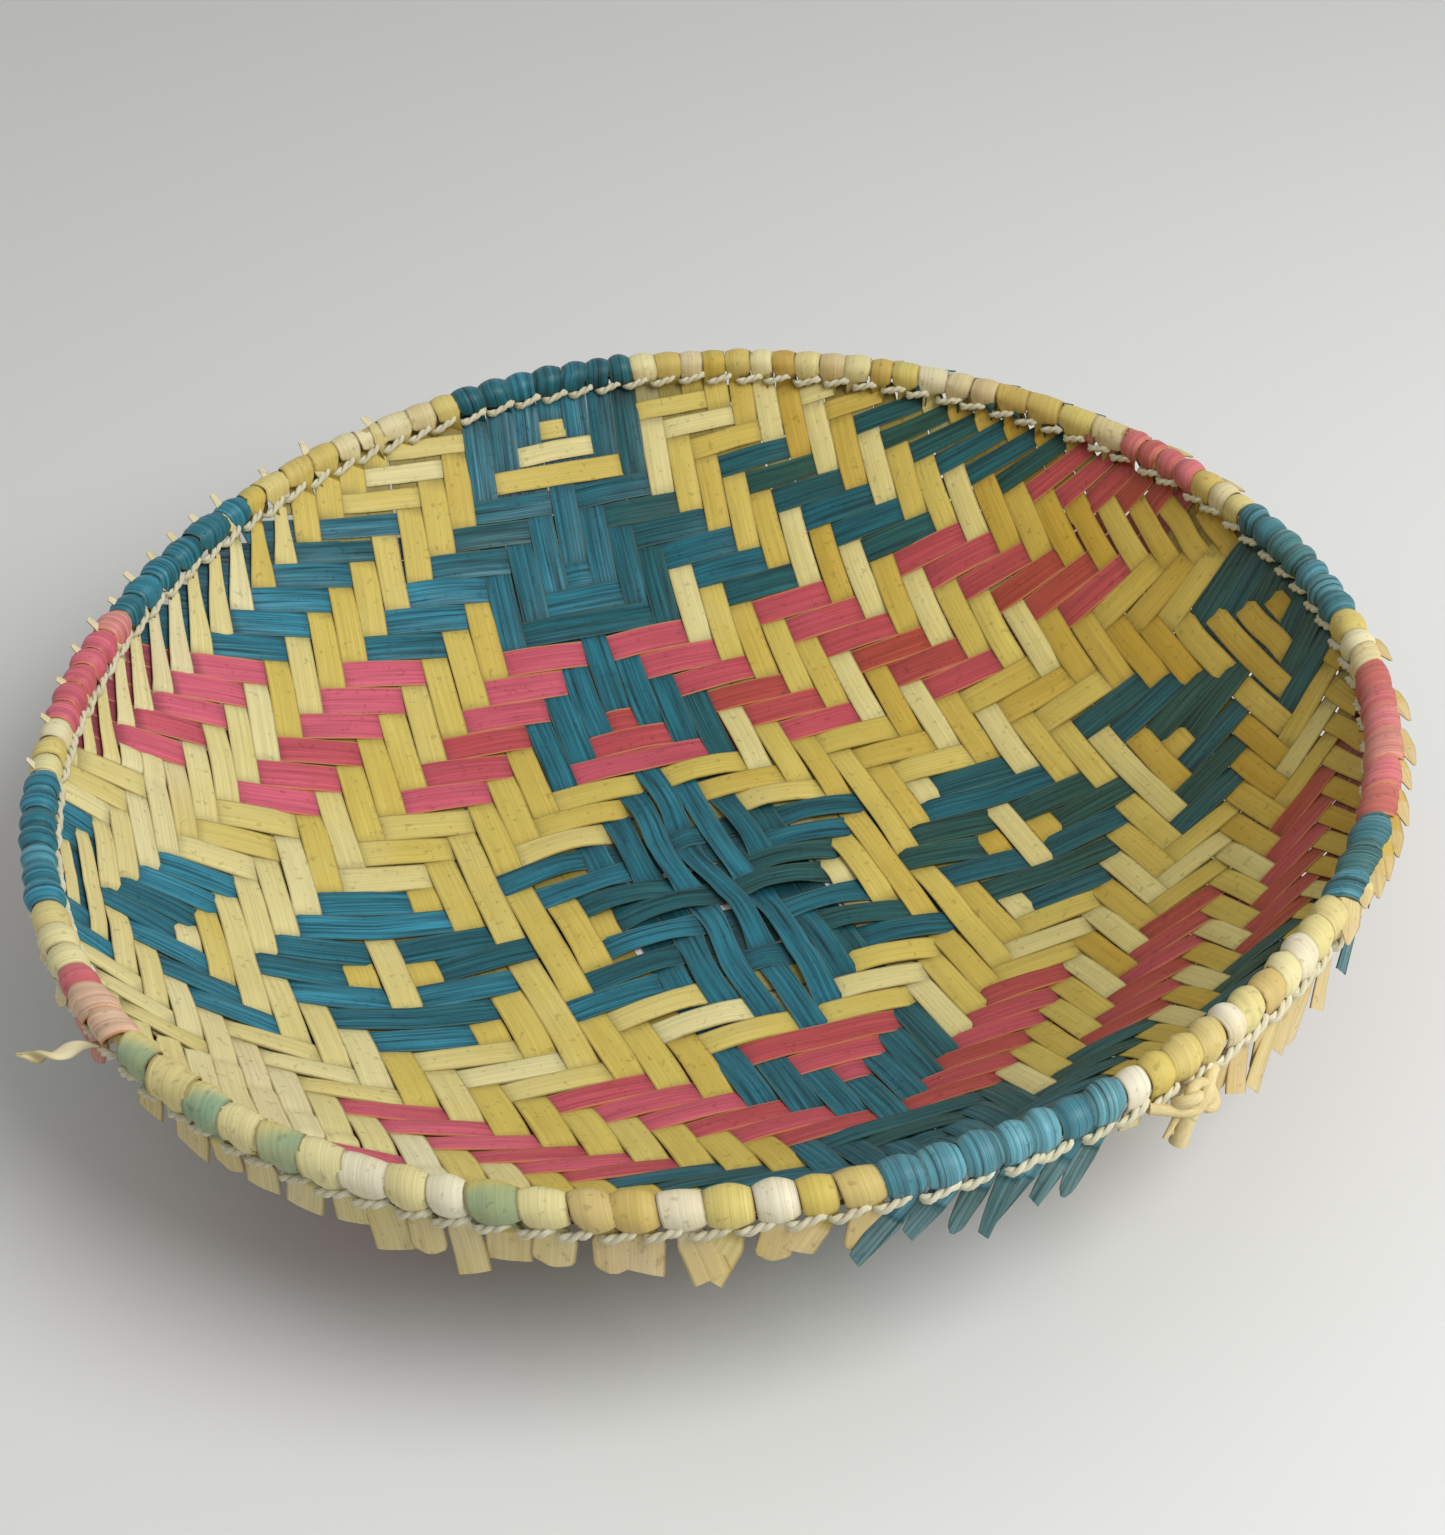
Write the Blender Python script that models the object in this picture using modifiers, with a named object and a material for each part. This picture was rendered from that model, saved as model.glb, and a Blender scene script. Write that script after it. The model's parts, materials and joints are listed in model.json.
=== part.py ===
import bpy
import math

# Round ring basket used for sifting: a plaited mat of flat leaf strips is pressed into a hoop,
# the strip ends are folded over the hoop and a cord binds the folds just below it.
# Lengths are in metres, +Z is up and the origin is on the flat underside, at the basket's centre.

collection_name = "sifter_basket"

# Overall sizes
hoop_ring_radius = 0.156
hoop_height = 0.060
hoop_rod_radius = 0.0020
hoop_end_gap = 0.0006
hoop_start_turn = math.radians(72.0)
hoop_roundness = 2

# The hoop isn't quite flat: it stands higher at two opposite places and lower halfway between them.
hoop_warp = 0.0028
hoop_warp_turn = math.radians(98.5)

# The plaited mat
strip_thickness = 0.0004
layer_gap = 0.0004
layer_step = strip_thickness + layer_gap
band_gap = 0.0026
half_band_gap = band_gap / 2.0
flat_radius = 0.044
wall_exponent = 2.25
warp_strips_to_rim = 25.74
weft_strips_to_rim = 23.24
warp_band_strip_edges = (1.5, 3.5, 6.5, 9.5, 12.5, 16.0, 19.5, 23.0)
weft_band_strip_edges = (1.5, 3.5, 6.5, 9.5, 12.5, 15.5, 18.5, 21.5)
arc_step = 0.0005

# The folds over the hoop, as seen in a cut through the rim
fold_clearance = 0.0005
fold_radius = hoop_rod_radius + fold_clearance + strip_thickness / 2.0 + layer_step
fold_start_turn = math.radians(205.0)
fold_end_turn = math.radians(-40.0)
fold_steps = 6
pinch_inset = 0.0020
pinch_drop = 0.0064
tail_pinch_outset = 0.0022
tail_pinch_drop = 0.0070
tail_lean = 0.20
tail_end_drops = (0.0175, 0.0140, 0.0200, 0.0160, 0.0185, 0.0130, 0.0170)

# Binding cords, the knot in the outer cord and the loose strip end
cord_radius = 0.0010
cord_roundness = 1
seat_gap = 0.0003
cord_end_gap = 0.0006
cord_start_turn = math.radians(-66.0)
knot_turn = math.radians(-70.0)
knot_radius = 0.0030
knot_height_share = 0.85
knot_segments = 12
knot_rings = 8
knot_end_radius = 0.0013
knot_end_tip_share = 0.6
knot_end_length = 0.0085
knot_end_outset = 0.0015
knot_end_spreads = (-0.0050, 0.0017)
knot_end_start_spread = 0.0016
knot_end_stations = 5
tuft_turn = math.radians(200.0)
tuft_outset = 0.0160
tuft_rise = 0.0070
tuft_width = 0.0050
tuft_tip_width = 0.0016
tuft_thickness = 0.0006
tuft_twist = math.radians(150.0)
tuft_stations = 9

rest_lift = layer_step + strip_thickness / 2.0
pinch_radius = hoop_ring_radius - pinch_inset
wall_height = hoop_height - pinch_drop - rest_lift
wall_run = pinch_radius - flat_radius
same_point = 1e-9
least_corners = 3

for old_object in list(bpy.data.objects):
    bpy.data.objects.remove(old_object, do_unlink=True)

basket = bpy.data.collections.new(collection_name)
bpy.context.scene.collection.children.link(basket)


def make_material(name, colour, roughness):
    material = bpy.data.materials.new(name)
    material.use_nodes = True
    shader = material.node_tree.nodes["Principled BSDF"]
    shader.inputs["Base Color"].default_value = colour
    shader.inputs["Roughness"].default_value = roughness
    material.diffuse_color = colour
    return material


natural_colour = (0.62, 0.52, 0.21, 1.0)
teal_colour = (0.02, 0.17, 0.21, 1.0)
pink_colour = (0.58, 0.08, 0.12, 1.0)
cord_colour = (0.66, 0.60, 0.38, 1.0)
cane_colour = (0.42, 0.27, 0.10, 1.0)
strip_roughness = 0.45
cord_roughness = 0.75

natural_strip = make_material("strip_natural", natural_colour, strip_roughness)
teal_strip = make_material("strip_teal", teal_colour, strip_roughness)
pink_strip = make_material("strip_pink", pink_colour, strip_roughness)
binding_fibre = make_material("binding_fibre", cord_colour, cord_roughness)
hoop_cane = make_material("hoop_cane", cane_colour, strip_roughness)


def add_object(name, vertices, faces, material):
    mesh = bpy.data.meshes.new(name)
    mesh.from_pydata(vertices, [], faces)
    mesh.validate()
    mesh.materials.append(material)
    mesh.polygons.foreach_set("use_smooth", [True] * len(mesh.polygons))
    made = bpy.data.objects.new(name, mesh)
    basket.objects.link(made)
    return made


def thicken(made, thickness):
    shell = made.modifiers.new("thickness", "SOLIDIFY")
    shell.thickness = thickness
    shell.offset = 0.0
    shell.use_rim = True


def hoop_lift(turn):
    return hoop_warp * math.cos(2.0 * (turn - hoop_warp_turn))


# The bowl: flat in the middle, then a wall whose height follows a power of the run from the flat.
def bowl_height(radius):
    share = max(radius - flat_radius, 0.0) / wall_run
    return rest_lift + wall_height * share ** wall_exponent


def bowl_slope(radius):
    share = max(radius - flat_radius, 0.0) / wall_run
    return wall_height * wall_exponent * share ** (wall_exponent - 1.0) / wall_run


# Where a place measured along the bowl from its centre stands in plan.
def plan_place(along):
    place = 0.0
    walked = 0.0
    while walked < abs(along):
        step = min(arc_step, abs(along) - walked)
        place += step / math.hypot(1.0, bowl_slope(place))
        walked += step
    return math.copysign(place, along)


def along_bowl(radius):
    walked = 0.0
    steps = round(radius / arc_step)
    for step in range(steps):
        walked += math.hypot(radius / steps, bowl_slope(radius * (step + 0.5) / steps) * radius / steps)
    return walked


def band_lines(strip_edges, pitch):
    bounds = [-edge for edge in reversed(strip_edges)] + list(strip_edges)
    lines = []
    for start, end in zip(bounds[:-1], bounds[1:]):
        lines.append(plan_place(start * pitch + half_band_gap))
        lines.append(plan_place(end * pitch - half_band_gap))
    return lines


warp_strip_pitch = along_bowl(pinch_radius) / warp_strips_to_rim
weft_strip_pitch = along_bowl(pinch_radius) / weft_strips_to_rim
warp_lines = band_lines(warp_band_strip_edges, warp_strip_pitch)
weft_lines = band_lines(weft_band_strip_edges, weft_strip_pitch)
x_places = [-pinch_radius] + warp_lines + [pinch_radius]
y_places = [-pinch_radius] + weft_lines + [pinch_radius]
warp_count = len(warp_lines) // 2
weft_count = len(weft_lines) // 2


# Every edge of a band that meets the pinch circle gives one station round the rim.
def rim_stations():
    turns = []
    for x in warp_lines:
        y = math.sqrt(pinch_radius ** 2 - x ** 2)
        turns.append(math.atan2(y, x))
        turns.append(math.atan2(-y, x))
    for y in weft_lines:
        x = math.sqrt(pinch_radius ** 2 - y ** 2)
        turns.append(math.atan2(y, x))
        turns.append(math.atan2(y, -x))
    return sorted(turn % math.tau for turn in turns)


stations = rim_stations()
station_spots = [(pinch_radius * math.cos(t), pinch_radius * math.sin(t)) for t in stations]


# The cut through the rim: from the pinch, round the hoop and down to the tail, as (radius, height).
def fold_path(tail_drop):
    path = [(pinch_radius, hoop_height - pinch_drop)]
    for step in range(fold_steps + 1):
        turn = fold_start_turn + (fold_end_turn - fold_start_turn) * step / fold_steps
        radius = hoop_ring_radius + fold_radius * math.cos(turn)
        path.append((radius, hoop_height + fold_radius * math.sin(turn)))
    path.append((hoop_ring_radius + tail_pinch_outset, hoop_height - tail_pinch_drop))
    tail_end_outset = tail_pinch_outset + tail_lean * (tail_drop - tail_pinch_drop)
    path.append((hoop_ring_radius + tail_end_outset, hoop_height - tail_drop))
    return path


def unit(x, y):
    length = math.hypot(x, y)
    return x / length, y / length


# For each point of the cut: the side it is layered towards, lengthened so that layers stay parallel.
def path_sides(path):
    slope_end = bowl_slope(pinch_radius)
    directions = [unit(1.0, slope_end)]
    for first, second in zip(path[:-1], path[1:]):
        directions.append(unit(second[0] - first[0], second[1] - first[1]))
    directions.append(directions[-1])
    sides = []
    for before, after in zip(directions[:-1], directions[1:]):
        bisector = unit(-before[1] - after[1], before[0] + after[0])
        spread = -bisector[0] * before[1] + bisector[1] * before[0]
        sides.append((bisector[0] / spread, bisector[1] / spread))
    return sides


def bowl_point(x, y, level):
    radius = math.hypot(x, y)
    slope = bowl_slope(radius)
    length = math.hypot(1.0, slope)
    lift = level * layer_step
    lean = lift * slope / length
    if radius > same_point:
        scale = 1.0 - lean / radius
    else:
        scale = 1.0
    wall_share = max(radius - flat_radius, 0.0) / wall_run
    warp = hoop_lift(math.atan2(y, x)) * wall_share ** 2
    return (x * scale, y * scale, bowl_height(radius) + warp + lift / length)


def rim_point(turn, point, side, level):
    lift = level * layer_step
    radius = point[0] + side[0] * lift
    height = point[1] + side[1] * lift + hoop_lift(turn)
    return (radius * math.cos(turn), radius * math.sin(turn), height)


# One cell of the mat's plan, between two neighbouring x places and two neighbouring y places.
def cell_outline(column, row):
    low_x, high_x = x_places[column], x_places[column + 1]
    low_y, high_y = y_places[row], y_places[row + 1]
    outline = []
    for i in (column, column + 1):
        for j in (row, row + 1):
            if math.hypot(x_places[i], y_places[j]) < pinch_radius - same_point:
                outline.append(("grid", i, j, x_places[i], y_places[j]))
    for k, (x, y) in enumerate(station_spots):
        in_x = low_x - same_point <= x <= high_x + same_point
        in_y = low_y - same_point <= y <= high_y + same_point
        if in_x and in_y:
            outline.append(("rim", k, 0, x, y))
    if len(outline) < least_corners:
        return []
    centre_x = sum(corner[3] for corner in outline) / len(outline)
    centre_y = sum(corner[4] for corner in outline) / len(outline)
    outline.sort(key=lambda corner: math.atan2(corner[4] - centre_y, corner[3] - centre_x))
    first = min(range(len(outline)), key=lambda n: (outline[n][3] + outline[n][4], outline[n][3]))
    return outline[first:] + outline[:first]


# A warp band lies over or under each weft band in turn; past the last one it reaches it stays as it is.
def warp_levels(band):
    left, right = warp_lines[2 * band], warp_lines[2 * band + 1]
    middle = weft_count // 2
    levels = {}
    for direction in (1, -1):
        level = 1 if (band + warp_count // 2) % 2 else -1
        start_level = level
        for step in range(middle + 1):
            weft = middle + direction * step
            near = weft_lines[2 * weft] if direction > 0 else weft_lines[2 * weft + 1]
            reach = max(math.hypot(left, near), math.hypot(right, near))
            if reach < pinch_radius:
                level = start_level * (-1) ** step
            levels[weft] = level
    return levels


def band_corner_level(kind, levels, y):
    if kind == "weft":
        return 0
    best = min(levels, key=lambda weft: min(abs(y - weft_lines[2 * weft]), abs(y - weft_lines[2 * weft + 1])))
    return levels[best]


def make_band(name, kind, band, material):
    cells = []
    if kind == "warp":
        levels = warp_levels(band)
        cells = [(2 * band + 1, row) for row in range(len(y_places) - 1)]
    else:
        levels = {}
        cells = [(column, 2 * band + 1) for column in range(len(x_places) - 1)]
    drops = tail_end_drops
    tail_drop = drops[(band * 3 + (1 if kind == "warp" else 0)) % len(drops)]
    path = fold_path(tail_drop)
    sides = path_sides(path)
    vertices = []
    faces = []
    numbers = {}

    def end_level(y):
        if kind == "weft":
            return 0
        return levels[weft_count - 1] if y > 0.0 else levels[0]

    def grid_vertex(i, j):
        key = ("grid", i, j)
        if key not in numbers:
            level = band_corner_level(kind, levels, y_places[j])
            numbers[key] = len(vertices)
            vertices.append(bowl_point(x_places[i], y_places[j], level))
        return numbers[key]

    def rim_vertex(k, step):
        key = ("rim", k, step)
        if key not in numbers:
            level = end_level(station_spots[k][1])
            numbers[key] = len(vertices)
            vertices.append(rim_point(stations[k], path[step], sides[step], level))
        return numbers[key]

    for column, row in cells:
        outline = cell_outline(column, row)
        if not outline:
            continue
        loop = []
        for corner in outline:
            if corner[0] == "grid":
                loop.append(grid_vertex(corner[1], corner[2]))
            else:
                loop.append(rim_vertex(corner[1], 0))
        for n in range(1, len(loop) - 1):
            faces.append((loop[0], loop[n], loop[n + 1]))
        on_rim = [corner[1] for corner in outline if corner[0] == "rim"]
        for k in on_rim:
            after = (k + 1) % len(stations)
            if after not in on_rim:
                continue
            for step in range(len(path) - 1):
                corners = (rim_vertex(k, step), rim_vertex(k, step + 1))
                across = (rim_vertex(after, step + 1), rim_vertex(after, step))
                faces.append(corners + across)
    made = add_object(name, vertices, faces, material)
    thicken(made, strip_thickness)
    return made


teal_warp_reach = 3.5
teal_weft_reach = 3.5
natural_weft_reach = 6.5
pink_weft_reach = 12.5
outer_teal_weft_reach = 18.5


def band_reach(band, count, strip_edges):
    return strip_edges[abs(band - count // 2)]


for band in range(warp_count):
    reach = band_reach(band, warp_count, warp_band_strip_edges)
    dyed = reach <= teal_warp_reach
    make_band(f"warp_band_{band + 1:02d}", "warp", band, teal_strip if dyed else natural_strip)

for band in range(weft_count):
    reach = band_reach(band, weft_count, weft_band_strip_edges)
    if reach <= teal_weft_reach:
        strip_material = teal_strip
    elif reach <= natural_weft_reach:
        strip_material = natural_strip
    elif reach <= pink_weft_reach:
        strip_material = pink_strip
    elif reach <= outer_teal_weft_reach:
        strip_material = teal_strip
    else:
        strip_material = natural_strip
    make_band(f"weft_band_{band + 1:02d}", "weft", band, strip_material)


# A tube along a route of points, with a share of its girth at each point.
def make_tube(name, route, girth_shares, rod_radius, roundness, material):
    curve = bpy.data.curves.new(name, "CURVE")
    curve.dimensions = "3D"
    curve.twist_mode = "Z_UP"
    curve.bevel_depth = rod_radius
    curve.bevel_resolution = roundness
    curve.use_fill_caps = True
    curve.materials.append(material)
    spline = curve.splines.new("POLY")
    spline.points.add(len(route) - 1)
    for point, place, share in zip(spline.points, route, girth_shares):
        point.co = (place[0], place[1], place[2], 1.0)
        point.radius = share
    spline.use_smooth = True
    made = bpy.data.objects.new(name, curve)
    basket.objects.link(made)
    return made


# A rod or cord run once round the basket, its two cut ends butted; it bends at the rim's stations.
def make_ring(name, centre_radius, centre_height, rod_radius, roundness, start, end_gap, material):
    gap_turn = end_gap / centre_radius
    around = sorted((turn - start) % math.tau for turn in stations)
    around = [turn for turn in around if gap_turn < turn < math.tau - gap_turn - gap_turn]
    around = [0.0] + around + [math.tau - gap_turn]
    route = []
    for turn in around:
        place = start + turn
        height = centre_height + hoop_lift(place)
        route.append((centre_radius * math.cos(place), centre_radius * math.sin(place), height))
    return make_tube(name, route, [1.0] * len(route), rod_radius, roundness, material)


make_ring("rim_hoop", hoop_ring_radius, hoop_height, hoop_rod_radius, hoop_roundness,
          hoop_start_turn, hoop_end_gap, hoop_cane)

usual_path = fold_path(tail_end_drops[0])
usual_sides = path_sides(usual_path)
cord_standoff = layer_step + strip_thickness / 2.0 + seat_gap + cord_radius


def cord_centre(step):
    point, side = usual_path[step], usual_sides[step]
    return point[0] + side[0] * cord_standoff, point[1] + side[1] * cord_standoff


tail_pinch_step = len(usual_path) - 2
inner_cord = cord_centre(0)
outer_cord = cord_centre(tail_pinch_step)
make_ring("binding_cord_inner", inner_cord[0], inner_cord[1], cord_radius, cord_roundness,
          cord_start_turn, cord_end_gap, binding_fibre)
make_ring("binding_cord_outer", outer_cord[0], outer_cord[1], cord_radius, cord_roundness,
          cord_start_turn, cord_end_gap, binding_fibre)


# A place beside the rim, given by the way round, the distance out, the way along and the height there.
def beside_rim(turn, radius, along, height):
    x = radius * math.cos(turn) - along * math.sin(turn)
    y = radius * math.sin(turn) + along * math.cos(turn)
    return x, y, height + hoop_lift(turn)


def make_knot():
    centre_radius = outer_cord[0] + cord_radius + seat_gap + knot_radius
    centre = beside_rim(knot_turn, centre_radius, 0.0, outer_cord[1])
    bpy.ops.mesh.primitive_uv_sphere_add(
        segments=knot_segments, ring_count=knot_rings, radius=knot_radius, location=centre,
        rotation=(0.0, 0.0, knot_turn), scale=(1.0, 1.0, knot_height_share))
    knot = bpy.context.object
    knot.name = "cord_knot"
    knot.data.name = "cord_knot"
    knot.data.materials.append(binding_fibre)
    knot.data.shade_smooth()
    for holder in list(knot.users_collection):
        holder.objects.unlink(knot)
    basket.objects.link(knot)


def make_knot_end(name, spread):
    start_radius = outer_cord[0] + cord_radius + seat_gap + knot_radius
    start_height = outer_cord[1] - knot_radius * knot_height_share - seat_gap
    start_along = math.copysign(knot_end_start_spread, spread)
    route = []
    girth_shares = []
    for station in range(knot_end_stations):
        share = station / (knot_end_stations - 1)
        along = start_along + (spread - start_along) * share
        out = start_radius + knot_end_outset * share
        route.append(beside_rim(knot_turn, out, along, start_height - knot_end_length * share))
        girth_shares.append(1.0 - (1.0 - knot_end_tip_share) * share)
    return make_tube(name, route, girth_shares, knot_end_radius, cord_roundness, binding_fibre)


make_knot()
make_knot_end("cord_knot_end_1", knot_end_spreads[0])
make_knot_end("cord_knot_end_2", knot_end_spreads[1])


# A loose strip end left standing out from the binding, twisted, rising and narrowing to its tip.
def make_tuft():
    start_radius = outer_cord[0] + cord_radius + seat_gap + tuft_thickness / 2.0
    vertices = []
    faces = []
    for station in range(tuft_stations):
        share = station / (tuft_stations - 1)
        half_width = (tuft_width + (tuft_tip_width - tuft_width) * share) / 2.0
        twist = tuft_twist * share
        out = start_radius + tuft_outset * share
        height = outer_cord[1] + tuft_rise * share
        for way in (-1.0, 1.0):
            along = way * half_width * math.cos(twist)
            stand = way * half_width * math.sin(twist)
            vertices.append(beside_rim(tuft_turn, out, along, height + stand))
    for station in range(tuft_stations - 1):
        first = 2 * station
        faces.append((first, first + 1, first + 3, first + 2))
    made = add_object("loose_strip_end", vertices, faces, natural_strip)
    thicken(made, tuft_thickness)
    return made


make_tuft()

following = stations[1:] + stations[:1]
spacing = min((after - turn) % math.tau for turn, after in zip(stations, following))
print("stations round the rim:", len(stations), "least spacing in m:", round(spacing * pinch_radius, 5))
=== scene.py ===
import json
import math
import random

import bpy
from mathutils import Matrix, Vector

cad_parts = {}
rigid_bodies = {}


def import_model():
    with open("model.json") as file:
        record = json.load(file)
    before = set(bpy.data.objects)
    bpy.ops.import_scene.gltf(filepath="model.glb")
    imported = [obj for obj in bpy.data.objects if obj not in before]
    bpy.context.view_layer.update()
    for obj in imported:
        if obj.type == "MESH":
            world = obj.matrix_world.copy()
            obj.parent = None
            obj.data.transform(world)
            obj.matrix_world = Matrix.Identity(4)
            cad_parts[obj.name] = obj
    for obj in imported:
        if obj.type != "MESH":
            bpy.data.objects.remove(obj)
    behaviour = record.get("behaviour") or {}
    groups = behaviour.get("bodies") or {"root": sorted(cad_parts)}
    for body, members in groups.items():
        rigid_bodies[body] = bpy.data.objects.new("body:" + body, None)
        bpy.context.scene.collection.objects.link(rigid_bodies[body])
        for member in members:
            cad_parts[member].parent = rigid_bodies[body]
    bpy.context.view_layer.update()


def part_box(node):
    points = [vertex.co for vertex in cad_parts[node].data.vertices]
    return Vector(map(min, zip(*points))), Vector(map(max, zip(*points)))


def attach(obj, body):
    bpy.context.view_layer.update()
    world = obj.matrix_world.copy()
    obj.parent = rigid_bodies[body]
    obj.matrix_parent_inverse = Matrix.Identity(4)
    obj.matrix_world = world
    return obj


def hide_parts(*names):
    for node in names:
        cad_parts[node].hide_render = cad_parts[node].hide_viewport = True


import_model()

# Sifter basket: a twill mat of leaf strips pressed into a hoop, the strip ends folded over it and bound.
# Metres, +Z up, the origin on the flat underside. Warps run front to back, wefts from side to side.

fullTurn = 2.0 * math.pi
hoopLow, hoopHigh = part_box("rim_hoop")
hoop = {
    "rodRadius": 0.0020,
    "startTurn": math.radians(72.0),      # where its pared ends meet
    "endGap": math.radians(0.4),
    "paredLength": 0.030,
    "paredShare": 0.55,                   # how thick its ends are against the rest
    "points": 180,
}
hoop["ringRadius"] = round((hoopHigh.x - hoopLow.x) / 2.0 - hoop["rodRadius"], 3)
hoop["height"] = round((hoopHigh.z + hoopLow.z) / 2.0, 3)

bowl = {
    "flatRadius": 0.044,                  # the middle, where the mat lies flat on the table
    "wallExponent": 2.25,                 # how the wall steepens towards the rim
    "restLift": 0.0010,                   # the middle of the mat above the table
    "pinchInset": 0.0020,                 # where the binding holds the mat, inside the hoop's centre line
    "pinchDrop": 0.0064,                  # and below it
    "warp": 0.0028,                       # the hoop stands higher at two opposite places
    "warpTurn": math.radians(98.5),
}
bowl["pinchRadius"] = hoop["ringRadius"] - bowl["pinchInset"]
bowl["wallRun"] = bowl["pinchRadius"] - bowl["flatRadius"]
bowl["wallHeight"] = hoop["height"] - bowl["pinchDrop"] - bowl["restLift"]

# How many warps lie between the middle and a place, and how many wefts. The places are shares of the unit,
# right of the middle and behind it. Each size is how many strips its share adds at the rim.
mat = {
    "unit": 0.156,
    "warps": {"middle": 0.1, "count": 21.4, "crowd": 3.7, "crowdEase": -3.4, "edgeCrowd": 3.4,
              "lean": 2.1, "bow": -1.1, "hook": -1.5, "splay": -2.2, "flare": 3.6},
    "wefts": {"middle": 0.6, "count": 19.0, "crowd": -1.1, "edgeCrowd": 4.1,
              "lean": 1.0, "bow": 4.6, "bowEase": -6.1, "splay": -8.0, "splayEase": 11.8, "flare": 13.9},
    "most": 27,
    "warpsPerUnit": 24.0,                 # a first guess at where a strip is, which is then settled
    "weftsPerUnit": 22.0,
    "walkStep": 0.001,
    "leastReach": 0.0015,                 # a strip that comes no further inside the rim is left out
    "medallionWarp": 11,                  # the middle wefts turn the twill back at this warp
    "medallionWeft": 3,                   # as far as this weft, outside which the twill runs on
    "floatLength": 3,                     # over three strips, under three
}


# A number in a node tree that can be added and multiplied, so that a formula reads as one.
class Field:
    def __init__(self, tree, socket):
        self.tree = tree
        self.socket = socket


def feed(value, socket):
    if isinstance(value, Field):
        value.tree.links.new(value.socket, socket)
    else:
        socket.default_value = value


def calculate(operation, *values):
    tree = next(value.tree for value in values if isinstance(value, Field))
    node = tree.nodes.new("ShaderNodeMath")
    node.operation = operation
    for value, socket in zip(values, node.inputs):
        feed(value, socket)
    return Field(tree, node.outputs[0])


def forward(operation):
    return lambda one, other: calculate(operation, one, other)


def backward(operation):
    return lambda one, other: calculate(operation, other, one)


for name, operation in (("add", "ADD"), ("sub", "SUBTRACT"), ("mul", "MULTIPLY"), ("truediv", "DIVIDE")):
    setattr(Field, f"__{name}__", forward(operation))
    setattr(Field, f"__r{name}__", backward(operation))


def addNode(tree, kind, sockets=(), **settings):
    node = tree.nodes.new(kind)
    for name, value in settings.items():
        setattr(node, name, value)
    for name, value in dict(sockets).items():
        feed(value, node.inputs[name])
    return node


def output(node, name=0):
    return Field(node.id_data, node.outputs[name])


def clampField(value):
    return calculate("MINIMUM", calculate("MAXIMUM", value, 0.0), 1.0)


def smoothStep(value):  # eases from 0 to 1 in a node tree
    share = clampField(value)
    return share * share * (3.0 - 2.0 * share)


def easeShare(value):  # the same for a plain number
    share = min(max(value, 0.0), 1.0)
    return share * share * (3.0 - 2.0 * share)


def between(first, second, share):
    return first * (1.0 - share) + second * share


def turnBetween(first, last):  # how far round it is from one to the other
    return (last - first) % fullTurn


def warpNumber(x, y):
    right, behind, size = x / mat["unit"], y / mat["unit"], mat["warps"]
    straight = size["middle"] + size["count"] * right + size["crowd"] * right ** 2
    crowded = size["crowdEase"] * right ** 4 + size["edgeCrowd"] * right ** 5
    bent = size["lean"] * behind + size["bow"] * behind ** 2 + size["hook"] * behind ** 3
    return straight + crowded + bent + (size["splay"] + size["flare"] * right * behind) * right ** 2 * behind


def weftNumber(x, y):
    right, behind, size = x / mat["unit"], y / mat["unit"], mat["wefts"]
    straight = size["middle"] + size["count"] * behind + size["crowd"] * behind ** 2
    bent = size["lean"] * right + size["bow"] * right ** 2 + size["bowEase"] * right ** 4
    splay = size["splay"] + size["splayEase"] * right ** 2 + size["flare"] * behind ** 2
    return straight + size["edgeCrowd"] * behind ** 5 + bent + splay * right ** 2 * behind


def climb(number, x, y):  # how fast the number grows rightwards and backwards
    step = 0.00001
    return ((number(x + step, y) - number(x - step, y)) / (2.0 * step),
            (number(x, y + step) - number(x, y - step)) / (2.0 * step))


def rimLift(turn):
    return math.cos((turn - bowl["warpTurn"]) * 2.0) * bowl["warp"]


def bowlHeight(x, y):
    share = max((math.hypot(x, y) - bowl["flatRadius"]) / bowl["wallRun"], 0.0)
    wall = share ** bowl["wallExponent"] * bowl["wallHeight"]
    return wall + rimLift(math.atan2(y, x)) * share * share + bowl["restLift"]


def bowlOutward(x, y):  # straight up in the middle, leaning inwards on the wall
    step = 0.0001
    return Vector((bowlHeight(x - step, y) - bowlHeight(x + step, y),
                   bowlHeight(x, y - step) - bowlHeight(x, y + step), 2.0 * step)).normalized()


# The twill's count at a crossing: warps are on top round 5, 11, 17..., wefts round 2, 8, 14...
def twillCount(warp, weft):
    if abs(weft) >= mat["medallionWeft"]:
        return abs(warp) + abs(weft)
    return mat["medallionWarp"] - abs(abs(warp) - mat["medallionWarp"]) - abs(weft)


def warpLevel(count):  # 1 where the warp is on top, -1 where the weft is
    wave = math.cos((count - 2.0 * mat["floatLength"] + 1.0) * math.pi / mat["floatLength"])
    return wave * (1.5 - wave * wave * 0.5)


def paint(red, green, blue):  # a colour as it is seen, turned into what a shader takes
    def linear(value):
        return value / 12.92 if value <= 0.04045 else ((value + 0.055) / 1.055) ** 2.4
    return linear(red), linear(green), linear(blue), 1.0


def newTree(name, kind, inputs, outputs):
    tree = bpy.data.node_groups.new(name, kind)
    for way, sockets in (("OUTPUT", outputs), ("INPUT", inputs)):
        for label, socketKind in sockets.items():
            tree.interface.new_socket(label, in_out=way, socket_type=f"NodeSocket{socketKind}")
    entry = tree.nodes.new("NodeGroupInput")
    return tree, {label: output(entry, label) for label in inputs}, tree.nodes.new("NodeGroupOutput")


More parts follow.
